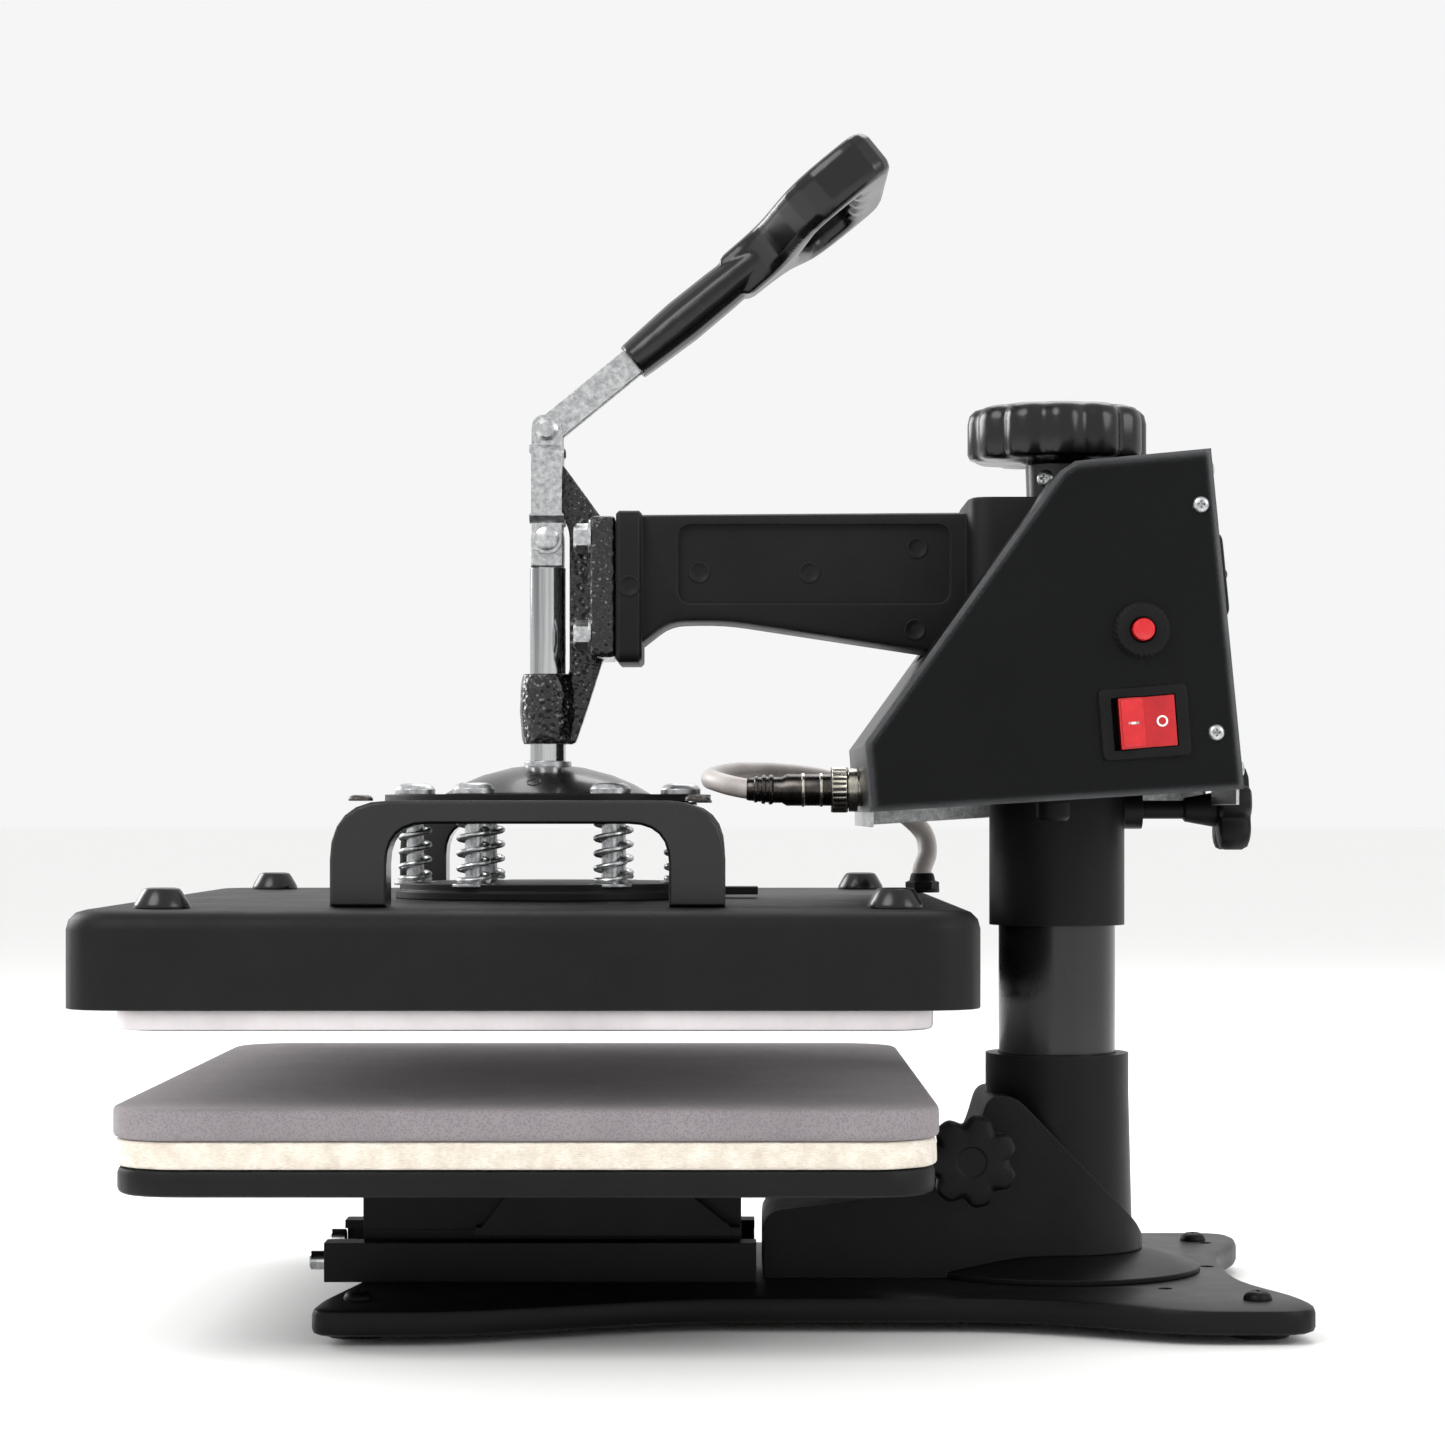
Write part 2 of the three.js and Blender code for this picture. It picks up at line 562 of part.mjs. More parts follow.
// moulded grip that opens into a D-shaped loop with finger grooves
function handleGrip() {
  const profile = [[0, gripStart], [8, gripStart], [8.4, 50], [9.5, 72], [9.2, 92], [8.4, 112], [0, 112]];
  const grip = new THREE.LatheGeometry(profile.map(([r, x]) => new THREE.Vector2(r, x)), 20);
  grip.applyMatrix4(axisTurn.x).scale(1, 1.5, 1);
  const halfWidth = 50;
  const loop = outline([
    [98, -9], [117, -13, 8], [136, -halfWidth, 18], [handleEnd, -halfWidth, 14],
    [handleEnd, halfWidth, 14], [136, halfWidth, 18], [117, 13, 8], [98, 9],
  ]);
  const grooves = Array.from({ length: 30 }, (_, i) => {
    const y = i * 2 - 29;
    return [157.2 + 1.3 * Math.cos((2 * Math.PI * (y - 9)) / 18), y];
  });
  loop.holes.push(outline([
    [138, -halfWidth + 14, 7], [156, -halfWidth + 14, 4], ...grooves, [156, halfWidth - 14, 4],
    [138, halfWidth - 14, 7], [127, 0, 9],
  ], new THREE.Path()));
  const head = new THREE.ExtrudeGeometry(loop, {
    depth: 12, bevelThickness: 4.2, bevelSize: 4.2, bevelOffset: -4.2, bevelSegments: 2, curveSegments: 4,
  });
  head.translate(0, 0, -6);
  const slot = new THREE.BoxGeometry(20, 15.2, 11.6).translate(gripStart + 5.7, 0, 0);
  return cut(join(inHandleFrame(grip), inHandleFrame(head)), inHandleFrame(slot));
}

// ---- upper platen ----
function heatHousing() {
  const wall = 2;
  const [width, depth] = housingSize;
  const [low, high] = housingZ;
  const drawn = (shrink, top) => extruded('xy',
    roundedRect([platenX, 0], [width - 2 * shrink, depth - 2 * shrink], 26 - shrink),
    [low - 20, top], { bevel: 7 - shrink / 2, rounds: 3, curve: 5 });
  const under = box([platenX - width, platenX + width], [-depth, depth], [low - 30, low]);
  return cut(drawn(0, high), drawn(wall, high - wall), under);
}

const heatingPlate = () => slab([300, 380], 22, [heatPlateZ, 130.4], 1.5);
const insulation = () => slab([316, 396], 22, [130.9, 146], 0.5);

function carryHandle([from, to]) {
  const [outer, inner, foot, bar] = [73.5, 52.5, housingZ[1] + gap, 194.6];
  const arch = outline([
    [platenX - outer, foot], [platenX - inner, foot], [platenX - inner, bar, 15], [platenX + inner, bar, 15],
    [platenX + inner, foot], [platenX + outer, foot], [platenX + outer, 203.3, 22], [platenX - outer, 203.3, 22],
  ]);
  return extruded('xz', arch, [from, to], { bevel: 1, rounds: 1, curve: 6 });
}

// round plate on the housing with its six spring bolts standing on it
function springPlate() {
  const foot = housingZ[1] + gap;
  const disc = turned('z', [[0, foot], [63, foot], [63, 166.8], [61, 167], [61, 170], [0, 170]], [platenX, 0, 0], 36);
  const tab = box([platenX + 50, -124], [-9, 9], [165, 168.2]);
  const bolts = springPlaces.map(([x, y]) => turned('z', [
    [0, 169], [3.4, 169], [3.4, topPlateZ + 2.9], [7.9, topPlateZ + 2.9], [7.9, 208.4], [7, 209], [0, 209],
  ], [x, y, 0], 12));
  return join(disc, tab, ...bolts);
}

class Helix extends THREE.Curve {
  constructor(radius, turns, [from, to]) {
    super();
    Object.assign(this, { radius, turns, from, to });
  }

  getPoint(t, target = new THREE.Vector3()) {
    const turn = 2 * Math.PI * this.turns * t;
    return target.set(this.radius * Math.cos(turn), this.radius * Math.sin(turn),
      THREE.MathUtils.lerp(this.from, this.to, t));
  }
}

function roundSection(radius, sides) {
  const shape = new THREE.Shape();
  for (let i = 0; i < sides; i += 1) {
    const turn = (i / sides) * 2 * Math.PI;
    shape[i ? 'lineTo' : 'moveTo'](radius * Math.cos(turn), radius * Math.sin(turn));
  }
  return shape;
}

function spring([x, y]) {
  const wire = 1.1;
  const path = new Helix(5.9, 5.5, [170.4 + wire, topPlateZ - gap - wire]);
  const geometry = new THREE.ExtrudeGeometry(roundSection(wire, 5), { steps: 52, extrudePath: path });
  return solidOf(geometry.translate(x, y, 0));
}

// ---- heater lead: from the plug, round behind the box, down into the platen ----
const glandPlace = [-51, 86];
const leadRoute = [
  [-119.9, 0, socketZ], [-127, 0, socketZ + 0.3], [-135, 4, 210], [-141.5, 14, 212], [-143.5, 28, 213],
  [-141, 44, 214.5], [-134, 60, 216], [-124, 75, 216.5], [-110, 87, 216], [-93, 94, 213.5],
  [-76, 96, 208], [-61, 96, 200], [-50.5, 94, 190.5], [-48.5, 90, 181.5],
  [glandPlace[0], glandPlace[1], 174], [glandPlace[0], glandPlace[1], 169], [glandPlace[0], glandPlace[1], 164.2],
];

function heaterLead() {
  const path = new THREE.CatmullRomCurve3(leadRoute.map((point) => new THREE.Vector3(...point)));
  const geometry = new THREE.ExtrudeGeometry(roundSection(3.7, 8), { steps: 40, extrudePath: path });
  return solidOf(geometry);
}

const leadGland = () => turned('z', [
  [4.5, 163.8], [7.4, 163.8], [7.4, 166], [6, 170.5], [4.5, 170.5],
], [...glandPlace, 0], 16);

// ---- the press, sub-part by sub-part ----
piece('base_plate', basePlate(), powderCoat);
footPlaces.forEach((place, index) => piece(`rubber_foot_${index + 1}`, rubberFoot(place), rubberBlack));
piece('post_socket', postSocket(), powderCoat);
piece('post_tube', postTube(), powderCoat);
piece('post_brace', postBrace(), powderCoat);
piece('slide_rail', slideRail(), powderCoat);

piece('carriage', carriage(), powderCoat);
piece('lower_platen', lowerPlaten(), powderCoat);
piece('felt_pad', feltPad(), creamFelt);
piece('silicone_pad', siliconePad(), greySilicone);

piece('post_bushing', postBushing(), bronze);
piece('hub_sleeve', hubSleeve(), powderCoat);
piece('arm_casting', armCasting(), powderCoat);
piece('guide_bracket', guideBracket(), hammerCoat);
piece('guide_bushing', guideBushing(), bronze);
piece('pivot_pin', pivotPin(), zincPlate);

piece('pressure_knob', pressureKnob(), glossBlack);
piece('pressure_screw', pressureScrew(), zincPlate);

const swingLock = swingLockKnob();
const swingLockGroup = new THREE.Group();
swingLockGroup.position.z = 200;
press.add(swingLockGroup);
piece('swing_lock_knob', join(swingLock.head, swingLock.stem), mouldedBlack, swingLockGroup);

const postLock = postLockKnob();
const postLockGroup = new THREE.Group();
postLockGroup.position.set(...postLock.place);
press.add(postLockGroup);
piece('post_lock_knob', join(postLock.head, postLock.stem), mouldedBlack, postLockGroup);

piece('control_box_cover', controlBoxCover(), powderCoat);
piece('control_box_chassis', controlBoxChassis(), powderCoat);
piece('breaker_body', breakerBody(), mouldedBlack);
piece('reset_button', resetButton(), redLens);
piece('panel_socket', panelSocket(), zincPlate);
piece('lead_plug', leadPlug(), gunmetal);
piece('mains_gland', mainsGland(), mouldedBlack);
piece('solid_state_relay', solidStateRelay(), mouldedBlack);

const displayGroup = new THREE.Group();
displayGroup.applyMatrix4(faceFrame);
press.add(displayGroup);
piece('display_unit', displayUnit(), mouldedBlack, displayGroup);
keyPlaces.forEach((y, index) => piece(`display_key_${index + 1}`, displayKey(y), mouldedBlack, displayGroup));

const switchGroup = new THREE.Group();
switchGroup.applyMatrix4(switchFrame());
press.add(switchGroup);
piece('switch_body', switchBody(), mouldedBlack, switchGroup);
piece('rocker_switch', rockerSwitch(), redLens, switchGroup);

piece('plunger_rod', plungerRod(), chrome);
piece('plunger_clevis', plungerClevis(), zincPlate);
piece('dome_cap', domeCap(), glossBlack);
piece('top_plate', topPlate(), powderCoat);
piece('link_strap_near', linkStrap(-1), zincPlate);
piece('link_strap_far', linkStrap(1), zincPlate);
piece('link_pin', linkPin(), zincPlate);
piece('handle_fork', handleFork(), zincPlate);
piece('handle_grip', handleGrip(), glossBlack);

piece('heat_housing', heatHousing(), powderCoat);
piece('heating_plate', heatingPlate(), castAluminium);
piece('insulation', insulation(), paleFibre);
piece('carry_handle_near', carryHandle([-157, -135]), powderCoat);
piece('carry_handle_far', carryHandle([135, 157]), powderCoat);
piece('spring_plate', springPlate(), powderCoat);
springPlaces.forEach((place, index) => piece(`spring_${index + 1}`, spring(place), zincPlate));
piece('lead_gland', leadGland(), mouldedBlack);
piece('heater_lead', heaterLead(), greyLead);

// origin: middle of the footprint, on the table that the feet stand on
const leftmost = platenX - housingSize[0] / 2;
press.position.set(-(leftmost + baseRight) / 2, 0, footHeight);

export default press;
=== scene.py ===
import bpy
import math
from mathutils import Matrix, Vector, noise


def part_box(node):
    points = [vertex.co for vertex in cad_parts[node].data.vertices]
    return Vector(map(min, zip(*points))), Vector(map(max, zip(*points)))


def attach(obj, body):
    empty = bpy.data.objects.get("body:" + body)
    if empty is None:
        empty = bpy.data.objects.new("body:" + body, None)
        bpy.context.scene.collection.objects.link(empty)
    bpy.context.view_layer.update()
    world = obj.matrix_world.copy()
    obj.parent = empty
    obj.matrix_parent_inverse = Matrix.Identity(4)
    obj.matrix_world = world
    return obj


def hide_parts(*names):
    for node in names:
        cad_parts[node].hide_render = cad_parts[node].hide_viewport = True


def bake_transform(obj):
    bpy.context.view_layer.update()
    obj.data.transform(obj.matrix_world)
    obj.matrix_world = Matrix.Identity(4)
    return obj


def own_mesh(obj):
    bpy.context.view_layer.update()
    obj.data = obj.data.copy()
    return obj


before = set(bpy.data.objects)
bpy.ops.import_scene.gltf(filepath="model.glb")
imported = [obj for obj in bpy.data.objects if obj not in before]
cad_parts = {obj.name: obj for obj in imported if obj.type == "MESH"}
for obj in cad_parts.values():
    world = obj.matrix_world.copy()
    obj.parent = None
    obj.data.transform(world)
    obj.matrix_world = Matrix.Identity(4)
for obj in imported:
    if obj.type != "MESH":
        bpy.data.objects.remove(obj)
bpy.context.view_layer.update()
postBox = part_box("post_tube")
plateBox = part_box("base_plate")
postX = (postBox[0][0] + postBox[1][0]) / 2 * 1000      # everything is set out from the post's axis
plateZ = plateBox[0][2] * 1000                          # and from the underside of the base plate
platenX = -211
print("frame loaded", len(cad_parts), "CAD nodes")


def at(x, y, z):
    # millimetres from the post's axis and the base plate's underside, to metres in the row frame
    return Vector(((x + postX) / 1000, y / 1000, (z + plateZ) / 1000))


# camera
view = {"x": -138.6, "y": -1498, "z": 199, "lens": 90, "sensorMm": 36, "lift": 0.062}


def makeCamera():
    data = bpy.data.cameras.new("camera")
    camera = bpy.data.objects.new("camera", data)
    bpy.context.scene.collection.objects.link(camera)
    camera.location = at(view["x"], view["y"], view["z"])
    camera.rotation_euler = (math.radians(90), 0, 0)
    data.lens = view["lens"]
    data.sensor_width = view["sensorMm"]
    data.shift_y = view["lift"]
    bpy.context.scene.camera = camera


makeCamera()
print("camera placed")


# colours and nodes
def linear(hexColour):
    channels = [int(hexColour[i:i + 2], 16) / 255 for i in (1, 3, 5)]
    return [c / 12.92 if c <= 0.04045 else ((c + 0.055) / 1.055) ** 2.4 for c in channels] + [1]


def addNode(tree, kind, settings=None, links=None):
    node = tree.nodes.new(kind)
    for name, value in (settings or {}).items():
        if isinstance(name, int) or name in node.inputs:
            node.inputs[name].default_value = value
        else:
            setattr(node, name, value)
    for name, source in (links or {}).items():
        tree.links.new(source, node.inputs[name])
    return node


# each finish: what the real surface is, and what that gives the eye
finishes = {
    # thermoset powder coat on bent sheet: near black, faint orange peel, satin, greyer where edges rub
    "satinPowderCoat": {
        "specular": 0.14,
        "low": "#0c0c0d", "high": "#121213", "patchMm": 70, "roughness": (0.36, 0.46), "smearMm": 45,
        "grain": "noise", "grainMm": 1.5, "depthMm": 0.035, "edge": "#4b4c4e", "edgeAmount": 0.5, "roundMm": 0.8},
    # the same coat where the sheet is bent, with a painted highlight: a pale line painted into the colour along every
    # fold
    "foldedPowderCoat": {
        "specular": 0.12,
        "low": "#08090a", "high": "#0d0e0f", "patchMm": 90, "roughness": (0.3, 0.38), "smearMm": 60,
        "grain": "noise", "grainMm": 1.3, "depthMm": 0.025, "edge": "#a9abae", "edgeAmount": 1.1, "roundMm": 4.5,
        "edgeSpan": (0.93, 0.76)},
    # the same powder laid on thicker over castings: a fine sandy texture that breaks up every highlight
    "texturedPowderCoat": {
        "specular": 0.16,
        "low": "#0d0d0e", "high": "#151516", "patchMm": 55, "roughness": (0.44, 0.56), "smearMm": 30,
        "grain": "noise", "grainMm": 0.9, "depthMm": 0.085, "edge": "#4f5052", "edgeAmount": 0.45, "roundMm": 0.9},
    # baked gloss enamel on tube and bar: deep black, long soft highlights, slight waviness
    "glossEnamel": {
        "specular": 0.4,
        "low": "#090909", "high": "#0e0e0f", "patchMm": 60, "roughness": (0.2, 0.3), "smearMm": 50,
        "grain": "noise", "grainMm": 4, "depthMm": 0.03, "edge": "#3b3c3e", "edgeAmount": 0.35, "roundMm": 0.9,
        "coat": 0.25},
    # hammered enamel on a sand casting: pooled wet-looking dimples a few millimetres across
    "hammeredEnamel": {
        "specular": 0.4,
        "low": "#080808", "high": "#101011", "patchMm": 30, "roughness": (0.14, 0.24), "smearMm": 12,
        "grain": "cells", "grainMm": 2.3, "depthMm": 1.1, "edge": "#3d3e40", "edgeAmount": 0.3, "roundMm": 1.2,
        "coat": 0.3},
    # moulded phenolic: hard glossy black with a soft sheen, hand polished on the lobes
    "mouldedPhenolic": {
        "specular": 0.3,
        "low": "#080808", "high": "#0e0e0f", "patchMm": 40, "roughness": (0.2, 0.28), "smearMm": 60,
        "grain": "noise", "grainMm": 2.2, "depthMm": 0.006, "edge": "#38393a", "edgeAmount": 0.25, "roundMm": 0.7,
        "ior": 1.6},
    # moulded nylon with a spark-eroded skin: matt black, fine leather-like pips
    "sparkedNylon": {
        "specular": 0.14,
        "low": "#0d0d0d", "high": "#141415", "patchMm": 35, "roughness": (0.42, 0.56), "smearMm": 20,
        "grain": "cells", "grainMm": 0.7, "depthMm": 0.05, "edge": "#3c3c3d", "edgeAmount": 0.3, "roundMm": 0.5},
    # moulded rubber: dull, dusty in patches
    "mouldedRubber": {
        "low": "#161616", "high": "#262625", "patchMm": 14, "roughness": (0.75, 0.92), "smearMm": 9,
        "grain": "noise", "grainMm": 0.8, "depthMm": 0.06, "edge": "#3a3936", "edgeAmount": 0.3, "roundMm": 0.6},
    # hard chrome on a ground rod: mirror bright, with light and dark bands painted along it as a painted reflection of
    # the room
    "hardChrome": {
        "low": "#54565a", "high": "#eceded", "patchMm": 8, "paintedReflectionBands": (1, 1, 0.02),
        "roughness": (0.07, 0.15), "smearMm": 14,
        "grain": "noise", "grainMm": 1.2, "depthMm": 0.006, "edge": "#f0f0f0", "edgeAmount": 0.2, "roundMm": 0.4,
        "metallic": 1, "stretch": (1, 1, 14)},
    # bright zinc plating on stamped steel: pale grey, cloudy, fine handling scratches
    "brightZinc": {
        "low": "#8f9194", "high": "#d0d1d1", "patchMm": 2.2, "roughness": (0.24, 0.46), "smearMm": 3,
        "grain": "noise", "grainMm": 0.9, "depthMm": 0.03, "edge": "#e2e2e0", "edgeAmount": 0.5, "roundMm": 0.4,
        "metallic": 1, "stretch": (1, 1, 3)},
    # satin nickel on turned brass: warm pale metal
    "satinNickel": {
        "low": "#b9b3a6", "high": "#d8d3c8", "patchMm": 7, "roughness": (0.2, 0.32), "smearMm": 5,
        "grain": "noise", "grainMm": 0.5, "depthMm": 0.015, "edge": "#efece4", "edgeAmount": 0.5, "roundMm": 0.3,
        "metallic": 1, "stretch": (8, 1, 1)},
    # black nickel on a turned plug: dark bronze-grey, bright where it is held
    "blackNickel": {
        "low": "#3a3836", "high": "#575350", "patchMm": 6, "roughness": (0.2, 0.32), "smearMm": 5,
        "grain": "noise", "grainMm": 0.5, "depthMm": 0.015, "edge": "#9b958c", "edgeAmount": 0.6, "roundMm": 0.3,
        "metallic": 1, "stretch": (8, 1, 1)},
    # oiled sintered bronze: brown gold, pitted like fine sand
    "sinteredBronze": {
        "low": "#8a6a3c", "high": "#b3915a", "patchMm": 5, "roughness": (0.34, 0.5), "smearMm": 4,
        "grain": "cells", "grainMm": 0.5, "depthMm": 0.04, "edge": "#d2b27a", "edgeAmount": 0.4, "roundMm": 0.3,
        "metallic": 1},
    # fly-cut aluminium casting with a non-stick film: pale, long tool marks
    "flyCutAluminium": {
        "low": "#b9b4b6", "high": "#d6d1d3", "patchMm": 60, "roughness": (0.3, 0.42), "smearMm": 30,
        "grain": "noise", "grainMm": 1.4, "depthMm": 0.03, "edge": "#ece9ea", "edgeAmount": 0.5, "roundMm": 0.6,
        "metallic": 0.85, "stretch": (1, 9, 1)},
    # closed-cell silicone sponge with a calendered skin: cool grey, pin-prick pores on the cut edge
    "siliconeSponge": {
        "low": "#807a7d", "high": "#8c8689", "patchMm": 45, "roughness": (0.72, 0.86), "smearMm": 20,
        "grain": "cells", "grainMm": 0.85, "depthMm": 0.16, "edge": "#a59ea6", "edgeAmount": 0.35, "roundMm": 0.8,
        "ior": 1.41, "sheen": 0.15, "pores": "#6d666e"},
    # needled felt, cut with a blade: warm white fibres, darker pinches between the needled rows
    "needledFelt": {
        "low": "#d3c8b8", "high": "#f0e9dd", "patchMm": 7, "roughness": (0.9, 0.98), "smearMm": 4,
        "grain": "noise", "grainMm": 0.8, "depthMm": 0.5, "edge": "#fbf6ec", "edgeAmount": 0.35, "roundMm": 0.8,
        "sheen": 0.5, "stretch": (0.35, 0.35, 2.4), "pores": "#bfb29d"},
    # ceramic fibre mat: off-white, loose fluffy fibres
    "fibreMat": {
        "low": "#cfc7b6", "high": "#e6dfd0", "patchMm": 8, "roughness": (0.92, 1), "smearMm": 5,
        "grain": "noise", "grainMm": 1.2, "depthMm": 0.5, "edge": "#f1ecdf", "edgeAmount": 0.2, "roundMm": 0.6,
        "sheen": 0.4, "stretch": (0.3, 1, 2)},
    # extruded PVC sheath: pale warm grey, satin, thumbed darker here and there
    "cableSheath": {
        "low": "#b9b1ad", "high": "#d6cfcb", "patchMm": 16, "roughness": (0.36, 0.5), "smearMm": 10,
        "grain": "noise", "grainMm": 0.7, "depthMm": 0.02, "edge": "#e3dedb", "edgeAmount": 0.1, "roundMm": 0.3,
        "ior": 1.53},
    # moulded polycarbonate, tinted right through: red, with a faint painted glow standing in for light going a little
    # way in
    "redPolycarbonate": {
        "specular": 0.35,
        "low": "#9c0b14", "high": "#bd111a", "patchMm": 9, "roughness": (0.12, 0.22), "smearMm": 6,
        "grain": "noise", "grainMm": 2.5, "depthMm": 0.012, "edge": "#ff5a55", "edgeAmount": 0.5, "roundMm": 0.6,
        "ior": 1.58, "coat": 0.2, "paintedGlow": ("#ff1d1d", 0.01)},
    # the same plastic painted lighter and warmer, with more painted glow: painted light on the rocker's lit half and
    # the breaker cap
    "paintedLitPolycarbonate": {
        "specular": 0.35,
        "low": "#b20f18", "high": "#c61a22", "patchMm": 5, "roughness": (0.14, 0.22), "smearMm": 5,
        "grain": "noise", "grainMm": 1.6, "depthMm": 0.012, "edge": "#ff8a80", "edgeAmount": 0.3, "roundMm": 0.4,
        "ior": 1.58, "coat": 0.2, "paintedGlow": ("#ff2020", 0.02)},
    # pad-printed ink: flat warm white, slightly rough
    "printedInk": {
        "low": "#e9e2de", "high": "#f7f2ee", "patchMm": 3, "roughness": (0.5, 0.65), "smearMm": 2,
        "grain": "noise", "grainMm": 0.4, "depthMm": 0.01, "edge": "#ffffff", "edgeAmount": 0.1, "roundMm": 0.1},
    # smoked acrylic over an unlit display: almost black, mirror flat
    "smokedAcrylic": {
        "low": "#0a0b0c", "high": "#101113", "patchMm": 30, "roughness": (0.04, 0.09), "smearMm": 14,
        "grain": "noise", "grainMm": 9, "depthMm": 0.004, "edge": "#2a2c2f", "edgeAmount": 0.4, "roundMm": 0.3,
        "ior": 1.49, "coat": 0.6},
}


def makeFinish(name, recipe):
    material = bpy.data.materials.new(name)
    material.use_nodes = True
    tree = material.node_tree
    tree.nodes.clear()
    place = addNode(tree, "ShaderNodeTexCoord").outputs["Object"]
    stretched = addNode(tree, "ShaderNodeMapping", {"Scale": recipe.get("stretch", (1, 1, 1))}, {"Vector": place})
    # colour patches, stretched into bands on the chrome as a painted reflection; round random patches elsewhere
    patchAndPaintedBandPlace = addNode(tree, "ShaderNodeMapping", {"Scale": recipe.get("paintedReflectionBands", (1, 1, 1))}, {"Vector": place})
    patches = addNode(tree, "ShaderNodeTexNoise", {"Scale": 1000 / recipe["patchMm"], "Detail": 6.0, "Roughness": 0.62},
                      {"Vector": patchAndPaintedBandPlace.outputs["Vector"]})
    colour = addNode(tree, "ShaderNodeValToRGB", links={"Fac": patches.outputs["Fac"]})
    colour.color_ramp.elements[0].position = 0.3
    colour.color_ramp.elements[0].color = linear(recipe["low"])
    colour.color_ramp.elements[1].position = 0.7
    colour.color_ramp.elements[1].color = linear(recipe["high"])
    paint = colour.outputs["Color"]
    smears = addNode(tree, "ShaderNodeTexNoise", {"Scale": 1000 / recipe["smearMm"], "Detail": 5.0, "Roughness": 0.7},
                     {"Vector": stretched.outputs["Vector"]})
    low, high = recipe["roughness"]
    rough = addNode(tree, "ShaderNodeMapRange", {"From Min": 0.3, "From Max": 0.7, "To Min": low, "To Max": high},
                    {"Value": smears.outputs["Fac"]})
    grainScale = 1000 / recipe["grainMm"]
    if recipe["grain"] == "cells":
        grain = addNode(tree, "ShaderNodeTexVoronoi", {"feature": "SMOOTH_F1", "Scale": grainScale, "Smoothness": 0.6},
                        {"Vector": stretched.outputs["Vector"]}).outputs["Distance"]
    else:
        grain = addNode(tree, "ShaderNodeTexNoise", {"Scale": grainScale, "Detail": 3.0, "Roughness": 0.55},
                        {"Vector": stretched.outputs["Vector"]}).outputs["Fac"]
    if "pores" in recipe:
        holes = addNode(tree, "ShaderNodeMapRange", {"From Min": 0.32, "From Max": 0.5, "To Min": 0.55, "To Max": 0.0},
                        {"Value": grain})
        paint = addNode(tree, "ShaderNodeMix", {"data_type": "RGBA", 7: linear(recipe["pores"])},
                        {0: holes.outputs["Result"], 6: paint}).outputs[2]
    softened = addNode(tree, "ShaderNodeBevel", {"samples": 4, "Radius": recipe["roundMm"] / 1000})
    trueNormal = addNode(tree, "ShaderNodeNewGeometry")
    facing = addNode(tree, "ShaderNodeVectorMath", {"operation": "DOT_PRODUCT"},
                     {0: softened.outputs["Normal"], 1: trueNormal.outputs["Normal"]})
    # edge colour over the patches: rubbed wear on most finishes, a painted highlight along the folds of the folded coat
    edgeStart, edgeFull = recipe.get("edgeSpan", (0.985, 0.9))
    edge = addNode(tree, "ShaderNodeMapRange", {"From Min": edgeStart, "From Max": edgeFull, "To Min": 0.0,
                                                "To Max": recipe["edgeAmount"]}, {"Value": facing.outputs["Value"]})
    wearAndPaintedHighlight = addNode(tree, "ShaderNodeMath", {"operation": "MULTIPLY"},
                   {0: edge.outputs["Result"], 1: patches.outputs["Fac"]})
    paint = addNode(tree, "ShaderNodeMix", {"data_type": "RGBA", 7: linear(recipe["edge"])},
                    {0: wearAndPaintedHighlight.outputs["Value"], 6: paint}).outputs[2]
    bump = addNode(tree, "ShaderNodeBump", {"Strength": 0.9, "Distance": recipe["depthMm"] / 1000},
                   {"Height": grain, "Normal": softened.outputs["Normal"]})
    settings = {"Metallic": recipe.get("metallic", 0), "Coat Weight": recipe.get("coat", 0), "Coat Roughness": 0.12,
                "Sheen Weight": recipe.get("sheen", 0), "Sheen Roughness": 0.5,
                "Specular IOR Level": recipe.get("specular", 0.5)}
    if not recipe.get("metallic"):
        settings["IOR"] = recipe.get("ior", 1.5)
    # a faint emission in the red plastics: painted glow
    if "paintedGlow" in recipe:
        settings["Emission Color"] = linear(recipe["paintedGlow"][0])
        settings["Emission Strength"] = recipe["paintedGlow"][1]
    shader = addNode(tree, "ShaderNodeBsdfPrincipled", settings,
                     {"Base Color": paint, "Roughness": rough.outputs["Result"], "Normal": bump.outputs["Normal"]})
    addNode(tree, "ShaderNodeOutputMaterial", links={"Surface": shader.outputs["BSDF"]})
    return material


materials = {name: makeFinish(name, recipe) for name, recipe in finishes.items()}
print("materials made", len(materials))


# mesh making
def newPiece(name, points, faces, finish, body, sharpAngle=35):
    mesh = bpy.data.meshes.new(name)
    mesh.from_pydata([tuple(p) for p in points], [], faces)
    mesh.validate()
    mesh.shade_smooth()
    mesh.set_sharp_from_angle(angle=math.radians(sharpAngle))
    mesh.materials.append(materials[finish])
    piece = bpy.data.objects.new(name, mesh)
    bpy.context.scene.collection.objects.link(piece)
    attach(piece, body)
    return piece


def skin(rings, closed=True):
    # joins rings of equal count, and closes both ends
    count = len(rings[0])
    points = [p for ring in rings for p in ring]
    faces = []
    for i in range(len(rings) - 1):
        for j in range(count):
            k = (j + 1) % count
            faces.append((i * count + j, i * count + k, (i + 1) * count + k, (i + 1) * count + j))
    if closed:
        for first, turn in ((0, -1), ((len(rings) - 1) * count, 1)):
            middle = len(points)
            points.append(sum((Vector(points[first + j]) for j in range(count)), Vector()) / count)
            for j in range(count):
                faces.append((first + j, first + (j + 1) % count, middle)[::turn])
    return points, faces


def basisFor(axis):
    up = Vector(axis).normalized()
    side = up.cross(Vector((0, 1, 0)) if abs(up.y) < 0.9 else Vector((0, 0, 1))).normalized()
    return side, up.cross(side), up


